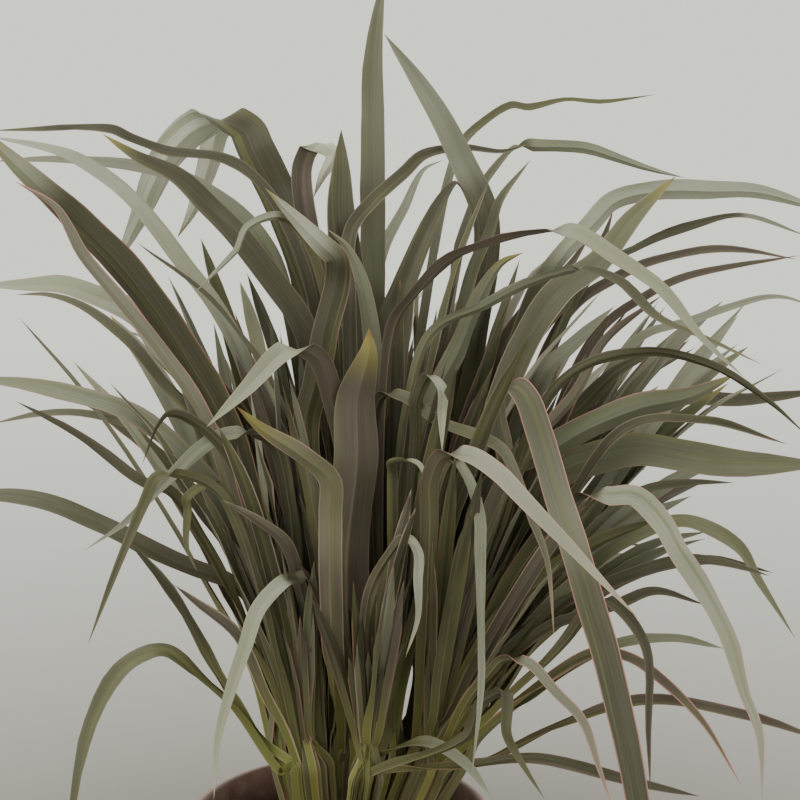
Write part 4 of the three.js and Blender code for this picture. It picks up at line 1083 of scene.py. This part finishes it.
def turned(name, outline, sides):
    """A mesh of an outline spun round the upright axis, which it starts and ends on."""
    angles = [2 * math.pi * j / sides for j in range(sides)]
    corners = [(0.0, 0.0, outline[0][1])]
    for r, z in outline[1:-1]:
        corners += [(r * math.cos(angle), r * math.sin(angle), z) for angle in angles]
    corners.append((0.0, 0.0, outline[-1][1]))
    faces = []
    for j in range(sides):
        n = (j + 1) % sides
        faces.append((0, 1 + n, 1 + j))
        for a in range(1, len(corners) - 1 - sides, sides):
            faces.append((a + j, a + n, a + sides + n, a + sides + j))
        last = len(corners) - 1 - sides
        faces.append((last + j, last + n, len(corners) - 1))
    mesh = bpy.data.meshes.new(name)
    mesh.from_pydata(np.array(corners) / PER_METRE, [], faces)
    return into_scene(name, mesh)


pot = turned("flowerpot", rounded(POT_OUTLINE, 1.2), 160)
print("pot:", len(pot.data.polygons), "faces")

# %% [markdown]
# Six drain holes go through the floor. A Boolean modifier cuts them, and its result is kept
# as a plain mesh.

# %% Drain holes
DRAINS = 6
DRAIN_RADIUS = 0.007  # metres
DRAIN_PLACE = 0.072  # metres from the middle


def from_shape(name, shape):
    """An object made of a bmesh, which is let go."""
    mesh = bpy.data.meshes.new(name)
    shape.to_mesh(mesh)
    shape.free()
    return into_scene(name, mesh)


def drain_pins():
    pins = bmesh.new()
    pin = {"cap_ends": True, "segments": 32, "radius1": DRAIN_RADIUS, "radius2": DRAIN_RADIUS, "depth": 0.03}
    for i in range(DRAINS):
        angle = 2 * math.pi * (i + 0.5) / DRAINS
        place = (DRAIN_PLACE * math.cos(angle), DRAIN_PLACE * math.sin(angle), 0)
        bmesh.ops.translate(pins, verts=bmesh.ops.create_cone(pins, **pin)["verts"], vec=place)
    return from_shape("drain_pins", pins)


pins = drain_pins()
cut = pot.modifiers.new("drain", "BOOLEAN")
cut.operation = "DIFFERENCE"
cut.object = pins
with_holes = evaluated(pot)
pot.modifiers.clear()
pot.data = with_holes
bpy.data.objects.remove(pins)
turn_out(pot, 30)
print("pot with its holes:", len(pot.data.polygons), "faces")

# %% [markdown]
# ## The plastic of the pot
# Terracotta-coloured plastic is not one flat colour: the pigment is streaked by the
# moulding and water leaves a pale bloom near the lip. The inside wall is painted darker
# as shade, most of all low down, and the inner edge of the lip gets the same dark colour.

# %% Pot material
def pot_finish():
    pot = Finish("terracotta plastic")
    place = pot.place()
    height = pot.node("ShaderNodeSeparateXYZ", {0: place}).other("Z")
    radius = pot.vector("LENGTH", pot.vector("MULTIPLY", place, (1, 1, 0)), out="Value")
    streaks = pot.noise(pot.vector("MULTIPLY", place, (40, 40, 5)), 1.0, 4.0)
    mottle = pot.noise(place, 60, 4.0)
    grain = pot.noise(place, 900, 2.0)
    bloom = pot.ease(height, 0.2, 0.25) * pot.ease(mottle, 0.3, 0.7, 0.1, 0.5)
    inner = pot.ease(height * 0.144 + 0.0955 - radius, -0.0015, 0.0005)
    # painted shade: the inside wall darkens, most of all low down
    painted_inner_shade = inner * pot.ease(height + mottle * 0.02, 0.22, 0.266, 0.92, 0.3)
    lip = pot.ease(radius - mottle * 0.002, 0.1335, 0.1355, 0.75, 0.0) * pot.ease(height, 0.2475, 0.249)
    colour = pot.layered(pot.blend(streaks, (146, 102, 88), (168, 124, 110)), [
        (pot.ease(mottle, 0.5, 0.75, 0.0, 0.35), (186, 158, 144)),
        (bloom, (184, 158, 148)),
        # painted shade inside the pot, and the inner edge of the lip darkened to the same colour
        (pot.sum("MAXIMUM", painted_inner_shade, lip), (50, 38, 30)),
    ])
    return pot.paint(colour, 0.52 + mottle * 0.22, grain * 0.3 + streaks * 0.5, 0.0004)


pot.data.materials.clear()
pot.data.materials.append(pot_finish())
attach(pot, "root")
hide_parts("pot")
print("pot dressed")

# %% [markdown]
# ## The potting mix
# The mix is dark composted bark with a lumpy top. Its body is turned like the pot, with
# more rings, and each corner of its top is then lifted by the same waves as the packed
# solid and by a finer noise.

# %% Body of the mix
def soil_height(x, y):
    waves = math.sin(x / 13 + 1) * math.cos(y / 17) + 0.6 * math.sin(x / 7 - y / 9)
    return SOIL_LEVEL + 2 * waves * ease((math.hypot(x, y) - 72) / 30)


rings = [(r, SOIL_LEVEL) for r in np.linspace(122, 2, 46)]
mix = turned("bark_mix", [(0, 3.3), (94.8, 3.3), (122.6, 196), *rings, (0, SOIL_LEVEL)], 150)
for corner in mix.data.vertices:
    x, y, z = corner.co * PER_METRE
    if z > 200:
        lumps = 2.2 * noise.fractal(Vector((x, y, 3)) / 9, 0.7, 2.1, 4)
        height = soil_height(x, y) - 0.6 + lumps * min(1, (124 - math.hypot(x, y)) / 8)
        corner.co.z = height / PER_METRE
turn_out(mix, 60)
print("mix stands", round(max(v.co.z for v in mix.data.vertices) * PER_METRE, 1), "mm high")

# %% [markdown]
# ## Bark chips and crumbs
# Hundreds of chips repeat over the top, so a Geometry Nodes tree scatters them: points on
# the top faces, a chip on each with its own turn and size, and a number of its own for the
# colour. The chips are small split blocks with few faces.

# %% The scatter tree
def bark_block(seed, size):
    """A small split block of bark."""
    stream = chance(seed)
    shape = bmesh.new()
    bmesh.ops.create_icosphere(shape, subdivisions=1, radius=1.0)
    for v in shape.verts:
        push = 0.72 + 0.5 * next(stream)
        v.co = Vector((v.co.x * size[0], v.co.y * size[1], v.co.z * size[2])) * push / PER_METRE
    return from_shape("block", shape)


def scatter_tree():
    board = Maker(
        "scatter", Ground="Geometry", Chip="Object", Density="Float", Apart="Float",
        Smallest="Float", Seed="Int", Finish="Material",
    )
    given = board.given
    place = board.node("GeometryNodeInputPosition")
    height = board.node("ShaderNodeSeparateXYZ", {0: place}).other("Z")
    radius = board.vector("LENGTH", board.vector("MULTIPLY", place, (1, 1, 0)), out="Value")
    inputs = {
        "Mesh": given("Ground"), "Distance Min": given("Apart"), "Density Max": given("Density"),
        "Selection": board.sum("GREATER_THAN", height, 0.198) * board.sum("LESS_THAN", radius, 0.113),
        "Seed": given("Seed"),
    }
    points = board.node("GeometryNodeDistributePointsOnFaces", inputs, distribute_method="POISSON")

    def by_chance(extra, low=0.0, high=1.0):
        """A number for each chip, or three of them where low and high are three."""
        kind, first, out = ("FLOAT_VECTOR", 0, 0) if isinstance(low, tuple) else ("FLOAT", 2, 1)
        inputs = {first: low, first + 1: high, "Seed": given("Seed") + extra}
        return board.node("FunctionNodeRandomValue", inputs, out, data_type=kind)

    size = by_chance(2)
    inputs = {
        "Points": points, "Rotation": by_chance(1, (-0.5, -0.5, 0.0), (0.5, 0.5, FULL_TURN)),
        "Instance": board.node("GeometryNodeObjectInfo", {"Object": given("Chip")}, out="Geometry"),
        "Scale": given("Smallest") + size * size * (1 - given("Smallest")),
    }
    shape = board.node("GeometryNodeInstanceOnPoints", inputs)
    inputs = {"Geometry": shape, "Name": "own", "Value": by_chance(3)}
    shape = board.node("GeometryNodeStoreNamedAttribute", inputs, data_type="FLOAT", domain="INSTANCE")
    return board.hand_back(shape)


scatter = scatter_tree()
print("scatter tree:", len(scatter.nodes), "nodes")

# %% [markdown]
# Damp bark is nearly black between the chips and a warm brown on their faces. The chips'
# own numbers pick a shade for each of them. A kind of chip is given by its size in
# millimetres, how many there are to a square metre at most, how far apart they lie, how
# small the smallest is beside the largest, and the seed of its stream.

# %% Bark materials and the chips
def bark_finish(name, dark, light, own=None):
    bark = Finish(name, 0.9)
    coarse = bark.noise(bark.place(), 130, 5.0, 0.7)
    fine = bark.noise(bark.place(), 1100, 3.0)
    pick = coarse if own is None else bark.attribute(own) * 0.7 + coarse * 0.4
    colour = bark.blend(bark.ease(pick, 0.3, 0.9), dark, light)
    return bark.paint(colour, 0.8 + fine * 0.18, coarse * 0.7 + fine * 0.3, 0.0014)


mix.data.materials.append(bark_finish("damp bark mix", (38, 30, 20), (74, 58, 42)))
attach(mix, "root")
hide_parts("potting_mix")
chip_material = bark_finish("bark chips", (44, 33, 23), (118, 92, 68), "own")
kinds = [
    ("bark_chips", (7, 3.4, 1.5), 9000.0, 0.007, 0.4, 3),
    ("bark_slivers", (9, 1.5, 1.0), 5000.0, 0.008, 0.4, 5),
    ("bark_crumbs", (2.1, 1.6, 1.1), 60000.0, 0.0024, 0.35, 8),
]
for name, size, density, apart, smallest, seed in kinds:
    block = bark_block(seed, size)
    chips = run_tree(
        into_scene("ground", mix.data.copy()), scatter, name, Chip=block, Density=density,
        Apart=apart, Smallest=smallest, Seed=seed, Finish=chip_material,
    )
    bpy.data.objects.remove(block)
    chips.data.shade_flat()
    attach(chips, "root")
    print(name, len(chips.data.polygons), "faces")

# %% [markdown]
# ## The studio
# The photograph's light is soft and comes from above and from the left, and its backdrop is
# a plain pale grey. Large soft lamps, a pale world and a floor that fades into it give the
# same, from every side.

# %% Floor, world and lamps
LIT_PLACE = Vector((0, 0, 0.55))  # where every lamp points


def floor():
    shape = bmesh.new()
    bmesh.ops.create_circle(shape, cap_ends=True, segments=96, radius=40.0)
    made = from_shape("studio_floor", shape)
    finish = Finish("pale floor", 0.9)
    distance = finish.vector("LENGTH", finish.place(), out="Value")
    finish.feed(finish.surface.inputs["Alpha"], finish.sum("MINIMUM", 1.6 / (distance + 1), 1.0))
    finish.feed(finish.surface.inputs["Base Color"], flat_colour(138, 136, 129))
    made.data.materials.append(finish.material)
    return made


def lamp(name, place, size, power, warmth=(1, 1, 1)):
    light = bpy.data.lights.new(name, "AREA")
    light.shape = "DISK"
    light.size = size
    light.energy = power
    light.color = warmth
    made = into_scene(name, light)
    made.location = place
    made.rotation_euler = (LIT_PLACE - Vector(place)).to_track_quat("-Z", "Y").to_euler()


floor()
world = bpy.data.worlds.new("pale grey")
bpy.context.scene.world = world
world.use_nodes = True
backdrop = world.node_tree.nodes["Background"].inputs
backdrop["Color"].default_value = flat_colour(215, 216, 206)
backdrop["Strength"].default_value = 1.65
lamp("key", (-1.6, -1.5, 2.6), 2.2, 30, (1, 0.985, 0.95))
lamp("fill", (2.2, -1.2, 1.2), 2.0, 4)
lamp("back", (0.6, 2.4, 2.2), 2.0, 12)
print("studio ready")
